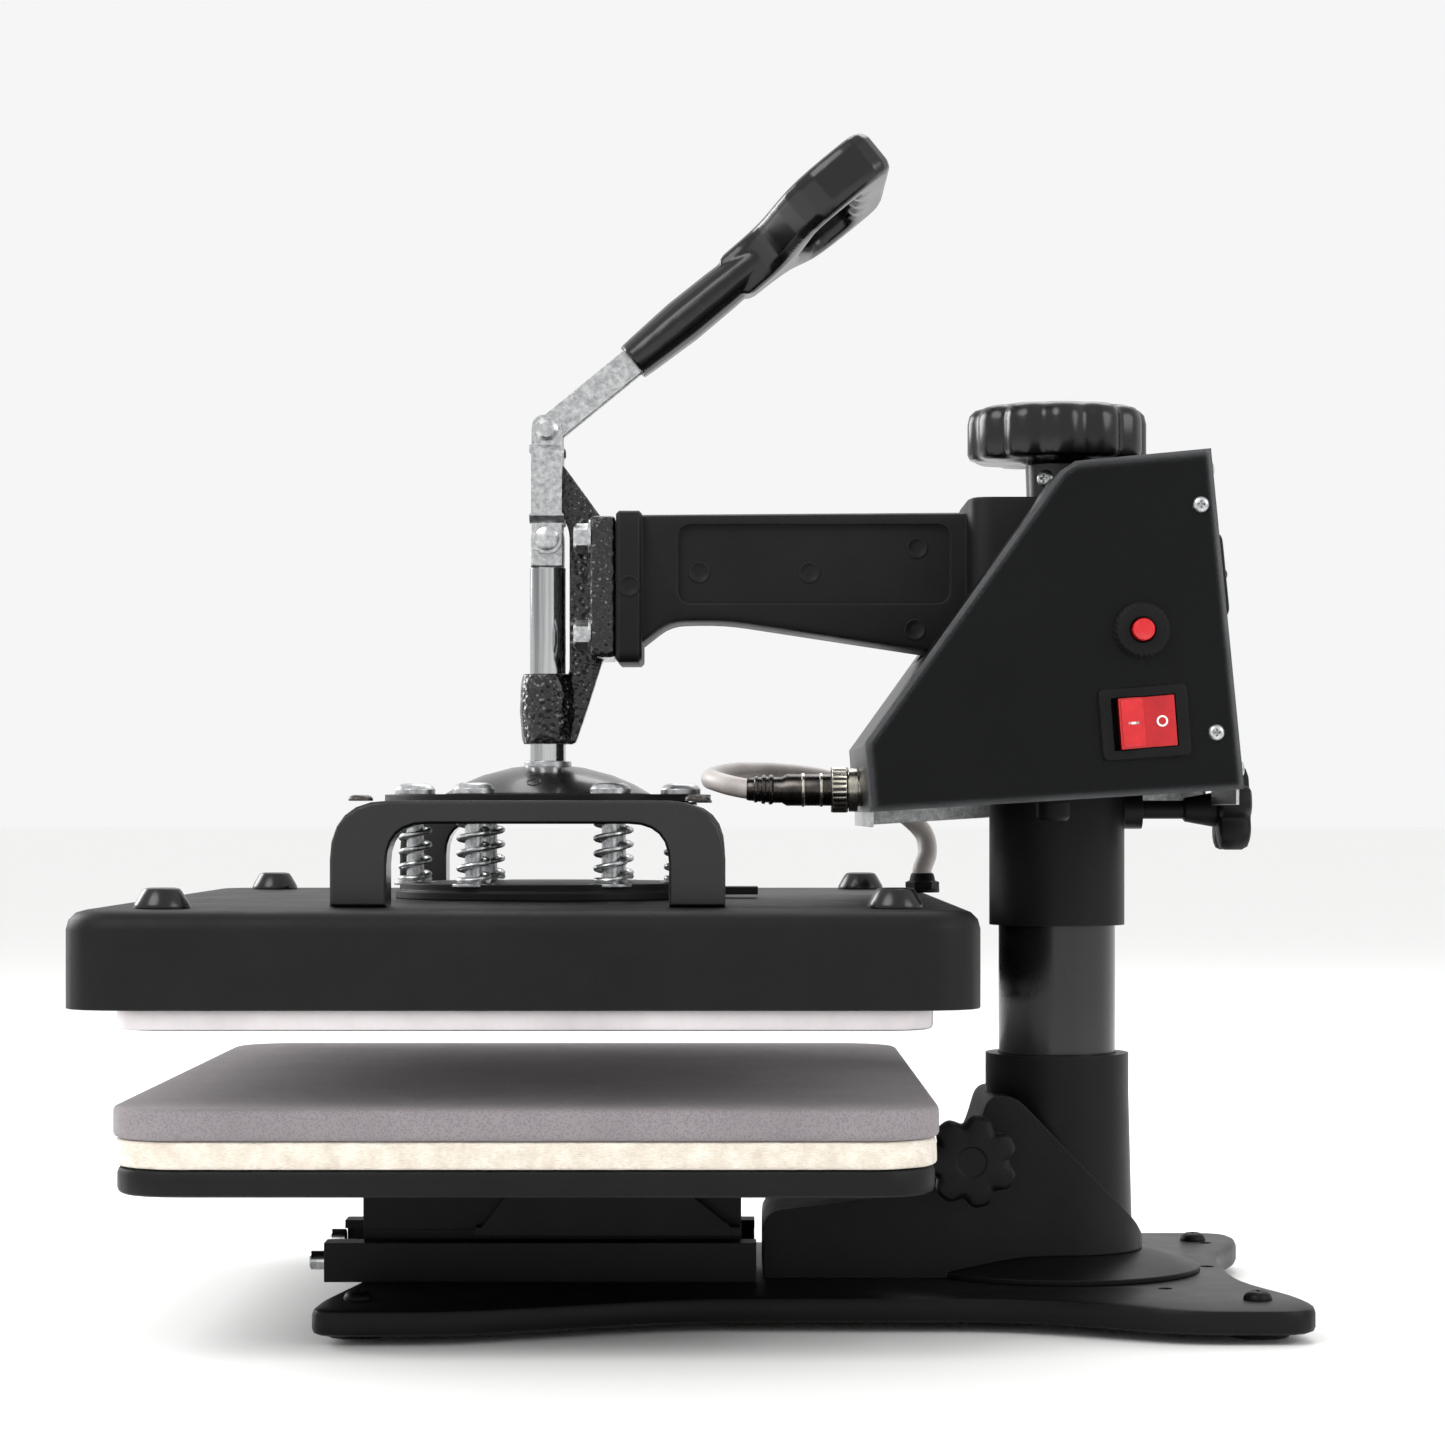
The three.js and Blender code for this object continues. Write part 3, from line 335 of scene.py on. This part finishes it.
def turnedRings(profile, centre, axis, count):
    # profile: [distance along the axis in mm, radius in mm or a function of the angle]
    side, other, up = basisFor(axis)
    rings = []
    for along, radius in profile:
        ring = []
        for j in range(count):
            turn = 2 * math.pi * j / count
            reach = radius(turn) if callable(radius) else radius
            ring.append(centre + (side * math.cos(turn) + other * math.sin(turn)) * reach / 1000 + up * along / 1000)
        rings.append(ring)
    return rings


def turnedPiece(name, profile, centre, axis, finish, body, count=48, sharpAngle=35):
    points, faces = skin(turnedRings(profile, centre, axis, count))
    return newPiece(name, points, faces, finish, body, sharpAngle)


def crossRecess(length, width):
    # radius of a cross-head recess in each direction
    def reach(turn):
        off = abs((turn + math.pi / 4) % (math.pi / 2) - math.pi / 4)
        return min(length, width / max(math.sin(off), 1e-6))
    return reach


def hexRecess(flat):
    return lambda turn: flat / math.cos((turn % (math.pi / 3)) - math.pi / 6)


def panHead(name, place, axis, radius, body, finish="brightZinc"):
    tall = radius * 0.62
    profile = [(0, radius), (tall * 0.3, radius), (tall * 0.68, radius * 0.88), (tall * 0.92, radius * 0.66),
               (tall, radius * 0.5), (tall, crossRecess(radius * 0.48, radius * 0.13)),
               (tall * 0.35, crossRecess(radius * 0.3, radius * 0.11))]
    return turnedPiece(name, profile, place, axis, finish, body, 64)


def socketHead(name, place, axis, radius, tall, body, finish="brightZinc"):
    profile = [(0, radius), (tall * 0.45, radius), (tall * 0.8, radius * 0.86), (tall, radius * 0.62),
               (tall, hexRecess(radius * 0.4)), (tall * 0.35, hexRecess(radius * 0.38))]
    return turnedPiece(name, profile, place, axis, finish, body, 48)


def hexHead(name, place, axis, radius, tall, body, finish="brightZinc"):
    flat = hexRecess(radius * 0.87)
    profile = [(0, radius * 1.25), (tall * 0.14, radius * 1.25), (tall * 0.16, flat), (tall * 0.84, flat),
               (tall, radius * 0.8), (tall, radius * 0.3)]
    return turnedPiece(name, profile, place, axis, finish, body, 48, 25)


def smoothLine(points, steps):
    # a Catmull-Rom line through the points
    ends = [points[0] * 2 - points[1], *points, points[-1] * 2 - points[-2]]
    line = []
    for i in range(1, len(ends) - 2):
        a, b, c, d = ends[i - 1:i + 3]
        for s in range(steps):
            t = s / steps
            line.append(0.5 * (2 * b + (c - a) * t + (2 * a - 5 * b + 4 * c - d) * t * t
                               + (3 * b - a - 3 * c + d) * t ** 3))
    line.append(points[-1].copy())
    return line


def tubeMesh(line, radius, count):
    rings = []
    normal = basisFor(line[1] - line[0])[0]
    for i, point in enumerate(line):
        along = (line[min(i + 1, len(line) - 1)] - line[max(i - 1, 0)]).normalized()
        normal = (normal - along * normal.dot(along)).normalized()
        other = along.cross(normal)
        rings.append([point + (normal * math.cos(2 * math.pi * j / count)
                               + other * math.sin(2 * math.pi * j / count)) * radius for j in range(count)])
    return skin(rings)


# heater lead
lead = {"radiusMm": 4.2, "gland": (-51, 86), "socketZ": 208.2}
leadRoute = [at(*p) for p in [
    (-119.9, 0, lead["socketZ"]), (-127, 0, 208.5), (-135, 4, 210), (-141.5, 14, 212), (-143.5, 28, 213),
    (-141, 44, 214.5), (-134, 60, 216), (-124, 75, 216.5), (-110, 87, 216), (-93, 94, 213.5),
    (-76, 96, 208), (-61, 96, 200), (-50.5, 94, 190.5), (-48.5, 90, 181.5),
    (*lead["gland"], 174), (*lead["gland"], 169), (*lead["gland"], 164.2)]]


def makeLead():
    line = smoothLine(leadRoute, 8)
    points, faces = tubeMesh(line, lead["radiusMm"] / 1000, 20)
    mesh = bpy.data.meshes.new("heaterLead")
    mesh.from_pydata([tuple(p) for p in points], [], faces)
    mesh.shade_smooth()
    mesh.materials.append(materials["cableSheath"])
    piece = bpy.data.objects.new("heaterLead", mesh)
    bpy.context.scene.collection.objects.link(piece)
    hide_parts("heater_lead")
    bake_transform(piece)


makeLead()


# CAD nodes that keep their shape get their real surface
coats = {
    "foldedPowderCoat": ["control_box_cover", "control_box_chassis"],
    "satinPowderCoat": ["base_plate", "post_socket", "hub_sleeve",
                        "slide_rail", "carriage", "top_plate", "spring_plate"],
    "texturedPowderCoat": ["heat_housing", "arm_casting", "post_brace", "lower_platen"],
    "glossEnamel": ["post_tube", "carry_handle_near", "carry_handle_far", "dome_cap"],
    "hammeredEnamel": ["guide_bracket"],
    "mouldedPhenolic": ["handle_grip"],
    "sparkedNylon": ["mains_gland", "solid_state_relay", "display_unit", "switch_body", "breaker_body",
                     "display_key_1", "display_key_2", "display_key_3"],
    "hardChrome": ["plunger_rod"],
    "brightZinc": ["pivot_pin", "pressure_screw", "link_strap_near", "link_strap_far", "link_pin", "plunger_clevis",
                   "handle_fork"],
    "satinNickel": ["panel_socket"],
    "blackNickel": ["lead_plug"],
    "sinteredBronze": ["post_bushing", "guide_bushing"],
    "flyCutAluminium": ["heating_plate"],
    "fibreMat": ["insulation"],
    "redPolycarbonate": ["reset_button", "rocker_switch"],
    "mouldedRubber": ["rubber_foot_1", "rubber_foot_2", "rubber_foot_3", "rubber_foot_4"],
}


seams = {"weldMm": 0.02, "creaseDegrees": 32}
castings = {"handle_grip": (0.7, 5), "guide_bracket": (0.8, 4)}     # voxel in mm, relaxing passes


def dress(nodeName, finish):
    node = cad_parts[nodeName]
    if not node.material_slots:
        node.data.materials.append(materials[finish])
    for slot in node.material_slots:
        slot.link = "OBJECT"
        slot.material = materials[finish]
    node.data.shade_smooth()
    joined = node.modifiers.new("join", "WELD")
    joined.merge_threshold = seams["weldMm"] / 1000
    if nodeName not in castings:
        creases = node.modifiers.new("creases", "EDGE_SPLIT")
        creases.split_angle = math.radians(seams["creaseDegrees"])


for finish, names in coats.items():
    for nodeName in names:
        dress(nodeName, finish)
print("CAD nodes dressed")


def softenCasting(nodeName, voxelMm, passes):
    # a casting or moulding has no knife edges: remeshed and relaxed over the CAD shape
    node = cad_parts[nodeName]
    remesh = node.modifiers.new("skin", "REMESH")
    remesh.mode = "VOXEL"
    remesh.voxel_size = voxelMm / 1000
    remesh.use_smooth_shade = True
    relax = node.modifiers.new("relax", "SMOOTH")
    relax.factor = 0.5
    relax.iterations = passes


for nodeName, (voxelMm, passes) in castings.items():
    softenCasting(nodeName, voxelMm, passes)


# pads
pads = {
    "siliconePad": {"node": "silicone_pad", "finish": "siliconeSponge", "slot": "grey_silicone", "cornerMm": 27,
                    "edgeMm": 1.8, "waverMm": 0.25, "crownMm": 0.3},
    "feltPad": {"node": "felt_pad", "finish": "needledFelt", "slot": "cream_felt", "cornerMm": 27,
                "edgeMm": 1.2, "waverMm": 0.7, "crownMm": 0},
}


def roundedOutline(halfX, halfY, corner, insetBy, spacing):
    points = []
    r = max(corner - insetBy, 1)
    hx, hy = halfX - insetBy - r, halfY - insetBy - r
    arcSteps = 14
    for quarter, (sx, sy) in enumerate(((1, 1), (-1, 1), (-1, -1), (1, -1))):
        for s in range(arcSteps + 1):
            turn = (quarter + s / arcSteps) * math.pi / 2
            points.append((sx * hx + r * math.cos(turn), sy * hy + r * math.sin(turn)))
        nextX, nextY = ((-1, 1), (-1, -1), (1, -1), (1, 1))[quarter]
        startPoint = points[-1]
        turn = (quarter + 1) * math.pi / 2
        endPoint = (nextX * hx + r * math.cos(turn), nextY * hy + r * math.sin(turn))
        runSteps = spacing[quarter % 2]
        for s in range(1, runSteps):
            t = s / runSteps
            points.append((startPoint[0] + (endPoint[0] - startPoint[0]) * t,
                           startPoint[1] + (endPoint[1] - startPoint[1]) * t))
    return points


def makePad(name, look):
    low, high = [Vector(corner) * 1000 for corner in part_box(look["node"])]
    centre = (low + high) / 2
    halfX, halfY, tall = (high.x - low.x) / 2, (high.y - low.y) / 2, high.z - low.z
    edge = look["edgeMm"]
    levels = [(0, edge), (edge * 0.3, edge * 0.3), (edge, 0), (tall * 0.35, 0), (tall * 0.65, 0),
              (tall - edge, 0), (tall - edge * 0.3, edge * 0.3), (tall, edge * 1.1)]
    rings = []
    for up, insetBy in levels:
        ring = []
        for x, y in roundedOutline(halfX, halfY, look["cornerMm"], insetBy, (44, 52)):
            waver = noise.noise(Vector((x, y, up * 3)) / 11) * look["waverMm"]
            shrink = 1 - (abs(waver) + 0.05) / halfX
            ring.append(Vector((centre.x + x * shrink, centre.y + y * shrink, low.z + up)) / 1000)
        rings.append(ring)
    topRing = rings[-1]
    for share in (0.97, 0.85, 0.6, 0.3, 0.08):
        ring = []
        for point in topRing:
            x = centre.x + (point.x * 1000 - centre.x) * share
            y = centre.y + (point.y * 1000 - centre.y) * share
            dip = look["crownMm"] * noise.noise(Vector((x, y, 4)) / 60)
            ring.append(Vector((x, y, high.z - abs(dip))) / 1000)
        rings.append(ring)
    points, faces = skin(rings)
    piece = newPiece(name, points, faces, look["finish"], "table", 50)
    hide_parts(look["node"])


for name, look in pads.items():
    makePad(name, look)
print("pads made")


# press springs
spring = {"count": 6, "circleMm": 55, "coilMm": 5.9, "wireMm": 1.12, "fromZ": 170.4, "toZ": 203.3, "turns": 6.5,
          "travelMm": 5.3, "steps": 150}


def makeSpring(index):
    turn = 2 * math.pi * index / spring["count"]
    x = platenX + spring["circleMm"] * math.cos(turn)
    y = spring["circleMm"] * math.sin(turn)
    wire = spring["wireMm"]
    low, high = spring["fromZ"] + wire, spring["toZ"] - wire
    line = []
    for s in range(spring["steps"] + 1):
        t = s / spring["steps"]
        angle = 2 * math.pi * spring["turns"] * t
        # the end turns lie closed on their neighbours, as a compression spring's do
        rise = min(max((t * spring["turns"] - 0.75) / (spring["turns"] - 1.5), 0), 1)
        settle = 0.05 * (t - rise)
        z = low + (high - low) * (rise + settle)
        line.append(at(x + spring["coilMm"] * math.cos(angle), y + spring["coilMm"] * math.sin(angle), z))
    points, faces = tubeMesh(line, wire / 1000, 10)
    piece = newPiece(f"pressSpring{index + 1}", points, faces, "brightZinc", "plunger")
    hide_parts(f"spring_{index + 1}")
    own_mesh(piece)
    turnedPiece(f"springBolt{index + 1}", [(0, 3.55), (33.1, 3.55)], at(x, y, 170.1), (0, 0, 1), "brightZinc",
                "platen", 24)
    socketHead(f"springBoltHead{index + 1}", at(x, y, 206.4), (0, 0, 1), 8.3, 4.4, "platen")
    turnedPiece(f"springSeat{index + 1}", [(0, 8.4), (0.2, 8.7), (1.1, 8.7), (1.3, 8.4), (1.3, 3.7)],
                at(x, y, 168.9), (0, 0, 1), "brightZinc", "platen", 32)


for index in range(spring["count"]):
    makeSpring(index)
print("springs made")


# knobs
knob = {"radiusMm": 37, "scallops": 12, "scallopMm": 2.7, "lowZ": 344, "highZ": 366}


def lobed(radius, depth, lobes, start=0):
    return lambda turn: radius - depth * (0.5 - 0.5 * math.cos(lobes * (turn - start))) ** 2


def makePressureKnob():
    r, d, n = knob["radiusMm"], knob["scallopMm"], knob["scallops"]
    low, high = knob["lowZ"], knob["highZ"]
    profile = [(327.4, 6.2), (327.4, 11.8), (328.2, 12.5), (342.4, 13), (343.6, 15.5), (343.7, 27)]
    profile += [(low, lobed(r - 3.2, d, n)), (low + 0.9, lobed(r - 1, d, n)), (low + 3, lobed(r, d, n)),
                (high - 6.5, lobed(r, d, n)), (high - 3, lobed(r - 0.8, d, n)), (high - 1, lobed(r - 2.8, d, n)),
                (high, lobed(r - 6, d * 0.6, n))]
    profile += [(high, 25), (high - 0.7, 23.6), (high - 0.7, 12.4), (high - 0.1, 11.2), (high - 0.1, 4)]
    piece = turnedPiece("pressureKnob", [(z - low, reach) for z, reach in profile], at(0, 0, low), (0, 0, 1),
                        "mouldedPhenolic", "pressure", 144)
    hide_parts("pressure_knob")
    panHead("pressureKnobSetScrew", at(-5.6, -11.3, 336.2), (-0.45, -0.89, 0), 3.6, "pressure")


def makeStarKnob(name, node, centre, axis, radius, depth, lobes, thickness, stem, body):
    profile = [(along, reach) for along, reach in stem]
    profile += [(0, lobed(radius - 2.6, depth, lobes)), (0.8, lobed(radius - 0.8, depth, lobes)),
                (2.6, lobed(radius, depth, lobes)), (thickness - 3.4, lobed(radius, depth, lobes)),
                (thickness - 1, lobed(radius - 1.4, depth, lobes)), (thickness, lobed(radius - 4, depth * 0.7, lobes)),
                (thickness, radius * 0.34), (thickness - 0.6, radius * 0.3), (thickness - 0.6, 1.5)]
    piece = turnedPiece(name, profile, centre, axis, "sparkedNylon", body, 140)
    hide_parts(node)


makePressureKnob()
makeStarKnob("swingLockKnob", "swing_lock_knob", at(66, 0, 200), (1, 0, 0), 18.5, 6, 5, 13,
             [(-39.8, 3.8), (-14, 3.8), (-13, 5), (-2, 7), (-0.4, 7)], "swing_lock")
makeStarKnob("postLockKnob", "post_lock_knob", at(-39.6, -52, 60), (0, -1, 0), 18.5, 3.4, 7, 13,
             [(-16, 3.8), (-11, 3.8), (-10, 7.5), (-0.4, 7.5)], "post_lock")
print("knobs made")


# control box: screws, breaker ring, switch marks, display
faceTilt = math.atan2(13, 133)
faceFrame = Matrix.Translation(at(56.6, 0, 294)) @ Matrix.Rotation(-faceTilt, 4, "Y")
switchTilt = math.radians(4.5)
switchFrame = Matrix.Translation(at(26, -88.6, 234)) @ Matrix.Rotation(-switchTilt, 4, "Y")
boxScrews = [(48, 319), (54, 230)]


def slabMesh(width, height, thick, corner, steps=6):
    # a thin rounded plate in its own X and Z, from Y 0 out to -thick, in metres
    rings = []
    for insetBy, y in ((0, 0), (0, -thick * 0.7), (thick * 0.3, -thick)):
        ring = []
        for x, z in roundedOutline(width / 2, height / 2, corner, insetBy, (steps, steps)):
            ring.append(Vector((x, y, z)) / 1000)
        rings.append(ring[::-1])
    return skin(rings)


def placed(points, matrix):
    return [matrix @ Vector(p) for p in points]


def makeSwitchMarks():
    # a dash on the lit half of the rocker and a ring on the other; the lit half is a sheet of the lighter red, painted
    # light
    rest = math.radians(8)
    slope = math.atan2(2.1, 11.2)
    swing = Matrix.Translation(Vector((0, 0.004, 0))) @ Matrix.Rotation(rest, 4, "Z") @ Matrix.Translation(
        Vector((0, -0.004, 0)))
    leftFace = switchFrame @ swing @ Matrix.Translation(Vector((-0.0056, -0.00248, 0))) @ Matrix.Rotation(
        slope, 4, "Z")
    rightFace = switchFrame @ swing @ Matrix.Translation(Vector((0.0056, -0.00248, 0))) @ Matrix.Rotation(
        -slope, 4, "Z")
    points, faces = slabMesh(9.6, 18.4, 0.35, 1.2)
    # the lighter red sheet over the lit half: painted light
    newPiece("rockerPaintedLightSheet", placed(points, leftFace), faces, "paintedLitPolycarbonate", "rocker")
    points, faces = slabMesh(4.2, 0.9, 0.12, 0.3)
    raised = leftFace @ Matrix.Translation(Vector((0, -0.00036, 0)))
    newPiece("rockerDash", placed(points, raised), faces, "printedInk", "rocker")
    centre = rightFace @ Vector((0.0004, -0.0001, 0))
    out = (rightFace.to_3x3() @ Vector((0, -1, 0))).normalized()
    rings = turnedRings([(0, 2.2), (0.12, 2.2), (0.12, 1.5), (0, 1.5), (0, 2.2)], centre, out, 32)
    points, faces = skin(rings, closed=False)
    newPiece("rockerRing", points, faces, "printedInk", "rocker")


def makeBreakerRing():
    # threaded nut of the breaker: coarse knurl round its rim
    def knurl(turn):
        return 10.7 - 0.45 * (0.5 + 0.5 * math.cos(28 * turn))
    profile = [(0.2, 10.9), (0.9, 10.9), (1.1, knurl), (3.6, knurl), (4.4, 9.6), (4.4, 5.2), (3.6, 5)]
    rings = turnedRings(profile, at(25, -88.7, 270), (0, -1, 0), 168)
    points, faces = skin(rings, closed=False)
    newPiece("breakerNut", points, faces, "sparkedNylon", "arm")
    # the breaker cap takes the lighter red: painted light
    turnedPiece("breakerCap", [(0, 4.4), (0.2, 4.4), (0.9, 4), (1.25, 2.6), (1.3, 1)], at(25, -95.55, 270), (0, -1, 0),
                "paintedLitPolycarbonate", "reset", 36)


def makeDisplay():
    # smoked window, with a thin raised rim
    turnToFace = faceFrame @ Matrix.Rotation(math.radians(90), 4, "Z")
    points, faces = slabMesh(69.4, 15.9, 0.55, 1.5)
    sunk = turnToFace @ Matrix.Translation(Vector((0, -0.00622, 0.00375)))
    newPiece("displayWindow", placed(points, sunk), faces, "smokedAcrylic", "arm")
    for side in (-1, 1):
        place = faceFrame @ Vector((0.0071, side * 0.0415, 0.0002))
        panHead(f"displayScrew{side + 2}", place, faceFrame.to_3x3() @ Vector((1, 0, 0)), 1.9, "arm",
                "blackNickel")
    for number, (y, z) in enumerate(((-76, 334), (76, 334), (-78, 216), (78, 216))):
        x = 65 - (z - 208) * 13 / 133
        panHead(f"faceScrew{number + 1}", at(x, y, z), faceFrame.to_3x3() @ Vector((1, 0, 0)), 3.4, "arm")


trayLip = {"front": (-79.5, 199.1), "rear": (63.5, 207.9), "halfWidth": 85, "stemGap": 13, "tallMm": 6,
           "thickMm": 1.2}


def makeTrayLip():
    # the zinc floor pan of the box hangs a little below the painted cover
    frontX, frontZ = trayLip["front"]
    rearX, rearZ = trayLip["rear"]
    half, gap = trayLip["halfWidth"], trayLip["stemGap"]
    strips = {"Far": ((frontX, half, frontZ), (rearX, half, rearZ)),
              "Front": ((frontX, -half, frontZ), (frontX, half, frontZ)),
              "RearNear": ((rearX, -half, rearZ), (rearX, -gap, rearZ)),
              "RearFar": ((rearX, gap, rearZ), (rearX, half, rearZ))}
    for side, (start, end) in strips.items():
        run = Vector(end) - Vector(start)
        left = Vector((-run.y, run.x, 0)).normalized() * trayLip["thickMm"]
        ring = [Vector(start), Vector(end), Vector(end) + left, Vector(start) + left]
        rings = [[at(p.x, p.y, p.z + rise) for p in ring] for rise in (-trayLip["tallMm"], 0.6)]
        points, faces = skin(rings)
        newPiece(f"trayLip{side}", points, faces, "brightZinc", "arm", 25)


for side, name in ((-1, "Near"), (1, "Far")):
    for number, (x, z) in enumerate(boxScrews):
        panHead(f"boxScrew{name}{number + 1}", at(x, side * 88.6, z), (0, side, 0), 3.3, "arm")
makeTrayLip()
makeSwitchMarks()
makeBreakerRing()
makeDisplay()
print("control box finished")


# plug: knurled coupling nut and rubber boot
def makePlugTrim():
    def knurl(turn):
        return 9.5 - 0.4 * (0.5 + 0.5 * math.cos(24 * turn))
    profile = [(0, 8.2), (0, 9.2), (0.4, 9.5), (0.7, knurl), (5.8, knurl), (6.1, 9.4), (6.5, 9), (6.5, 8.2)]
    rings = turnedRings(profile, at(-87, 0, lead["socketZ"]), (-1, 0, 0), 144)
    points, faces = skin(rings, closed=False)
    newPiece("plugNut", points, faces, "satinNickel", "arm")
    boot = [(0, 5.8), (0.5, 6.2), (1.6, 6.2), (2, 5.4), (3, 5.4), (3.3, 6), (4.6, 6), (5, 5.2), (6.2, 5.1),
            (6.5, 5.5), (7.6, 5.5), (8, 4.9), (10.5, 4.7), (11, 4.3)]
    rings = turnedRings(boot, at(-117.6, 0, 208.3), (-1, 0, 0.02), 32)
    points, faces = skin(rings, closed=False)
    newPiece("plugBoot", points, faces, "blackNickel", "arm")
    band = [(0, 6.65), (0.2, 7), (1.2, 7), (1.4, 6.65)]
    for number, along in enumerate((-97, -104.5)):
        rings = turnedRings(band, at(along, 0, lead["socketZ"]), (-1, 0, 0), 40)
        points, faces = skin(rings, closed=False)
        newPiece(f"plugBand{number + 1}", points, faces, "satinNickel", "arm")


def makeLeadGland():
    profile = [(0, 7.3), (0.3, 7.5), (1.6, 7.5), (1.9, hexRecess(6.4)), (4.6, hexRecess(6.4)), (5.2, 5.7), (7, 5.3),
               (8.2, 4.9), (8.6, 4.3)]
    rings = turnedRings(profile, at(*lead["gland"], 163.8), (0, 0, 1), 48)
    points, faces = skin(rings, closed=False)
    piece = newPiece("leadGland", points, faces, "sparkedNylon", "platen")
    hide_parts("lead_gland")


makePlugTrim()
makeLeadGland()
print("lead fittings made")


# fasteners and small trim
capCones = [(-345, -168), (-75, -168), (-345, 168), (-75, 168)]
castMarks = [(-148, 20.8, 297), (-103, 20.8, 297), (-59, 20.8, 307), (-60, 23.5, 273.5), (-176.6, 28.95, 291)]
footScrews = [(69, -97), (69, 97), (-280, -96), (-280, 96)]


def makeTrim():
    for number, (x, y) in enumerate(capCones):
        profile = [(0, 10.2), (0.6, 10.4), (2, 10.1), (6.4, 7.6), (7.6, 6.6), (8, 5), (8, 2)]
        turnedPiece(f"housingCap{number + 1}", profile, at(x, y, 163.2), (0, 0, 1), "mouldedPhenolic", "platen",
                    40)
    for number, (x, y) in enumerate(footScrews):
        panHead(f"footScrew{number + 1}", at(x, y, 9.9), (0, 0, 1), 5.6, "base", "satinPowderCoat")
    number = 0
    for y in (-19, 19):
        for z in (271.5, 311):
            number += 1
            hexHead(f"bracketBolt{number}", at(-192.3, y, z), (-1, 0, 0), 6.2, 7.2, "arm")
    for number, y in enumerate((-43, 43)):
        turnedPiece(f"railPin{number + 1}", [(0, 3.4), (0.4, 3.8), (6, 3.8), (6.6, 3.2), (6.6, 1)],
                    at(-298.5, y * 0.9, 18), (-1, 0, 0), "hardChrome", "base", 32)
    for side in (-1, 1):
        for number, (x, y, z) in enumerate(castMarks):
            turnedPiece(f"castMark{(side + 1) * 3 + number}", [(0, 4.5), (0.4, 4.3), (0.4, 3.7), (0.3, 3.5), (0.3, 1)],
                        at(x, side * y, z), (0, side, 0), "texturedPowderCoat", "arm", 36)
    turnedPiece("domeCollar", [(0, 9.4), (0.3, 9.8), (2.2, 9.8), (2.6, 9.2), (2.6, 7.7)], at(platenX, 0, 217.6),
                (0, 0, 1), "brightZinc", "plunger", 40)
    turnedPiece("domeVent", [(0, 3.4), (0.5, 3.2), (0.5, 2.5), (-0.2, 2.3), (-0.2, 1)], at(-215, -33.6, 210.9),
                (-0.05, -0.4, 0.91), "glossEnamel", "plunger", 32)
    for side in (-1, 1):
        turnedPiece(f"crankRivet{side + 2}", [(0, 5.4), (0.8, 5.4), (1.7, 4.6), (2.3, 3), (2.4, 1)],
                    at(platenX, side * 7.35, 339.5), (0, side, 0), "brightZinc", "handle", 32)
    for side in (-1, 1):
        for x in (platenX - 63, platenX + 63):
            socketHead(f"carryBolt{(side + 1) * 40 + int(-x)}", at(x, side * 146, 203.2), (0, 0, 1), 4.6, 2.2, "platen",
                       "blackNickel")


makeTrim()
print("fasteners made")


# floor, light, world
studio = {"floor": "#fbfbfa", "floorSize": 90, "floorCuts": 60, "sky": "#ffffff", "skyStrength": 0.92,
          "aimHeight": 0.22}
lamps = [
    # place in metres, size, power, what it is for
    ((-1.3, -1.6, 2.0), 1.6, 34, "key softbox, high on the operator's side"),
    ((1.7, -1.1, 1.1), 1.2, 14, "fill along the control box"),
    ((-1.5, 1.1, 0.9), 1.0, 22, "rim from behind the table"),
    ((0.3, 1.5, 2.2), 1.8, 22, "top light for the castings"),
]


def makeStudio():
    size = studio["floorSize"] / 2
    mesh = bpy.data.meshes.new("floor")
    cuts = studio["floorCuts"]
    points = [(-size + 2 * size * i / cuts, -size + 2 * size * j / cuts, 0) for j in range(cuts + 1)
              for i in range(cuts + 1)]
    faces = [(j * (cuts + 1) + i, j * (cuts + 1) + i + 1, (j + 1) * (cuts + 1) + i + 1, (j + 1) * (cuts + 1) + i)
             for j in range(cuts) for i in range(cuts)]
    mesh.from_pydata(points, [], faces)
    floorPaint = bpy.data.materials.new("paintedStudioFloor")
    floorPaint.use_nodes = True
    tree = floorPaint.node_tree
    tree.nodes.clear()
    mottle = addNode(tree, "ShaderNodeTexNoise", {"Scale": 3.0, "Detail": 4.0})
    rough = addNode(tree, "ShaderNodeMapRange", {"To Min": 0.55, "To Max": 0.7}, {"Value": mottle.outputs["Fac"]})
    shader = addNode(tree, "ShaderNodeBsdfPrincipled", {"Base Color": linear(studio["floor"]),
                                                        "Specular IOR Level": 0.3},
                     {"Roughness": rough.outputs["Result"]})
    addNode(tree, "ShaderNodeOutputMaterial", links={"Surface": shader.outputs["BSDF"]})
    mesh.materials.append(floorPaint)
    floor = bpy.data.objects.new("floor", mesh)
    bpy.context.scene.collection.objects.link(floor)
    for number, (place, wide, power, purpose) in enumerate(lamps):
        data = bpy.data.lights.new(f"softbox{number + 1}", "AREA")
        data.shape = "DISK"
        data.size = wide
        data.energy = power
        lamp = bpy.data.objects.new(f"softbox{number + 1}", data)
        bpy.context.scene.collection.objects.link(lamp)
        lamp.location = place
        aim = Vector((0, 0, studio["aimHeight"])) - Vector(place)
        lamp.rotation_euler = aim.to_track_quat("-Z", "Y").to_euler()
        print("lamp:", purpose)
    world = bpy.data.worlds.new("studio")
    bpy.context.scene.world = world
    world.use_nodes = True
    background = world.node_tree.nodes["Background"]
    background.inputs["Color"].default_value = linear(studio["sky"])
    background.inputs["Strength"].default_value = studio["skyStrength"]
    bpy.context.scene.view_settings.view_transform = "Standard"


makeStudio()
print("studio lit")
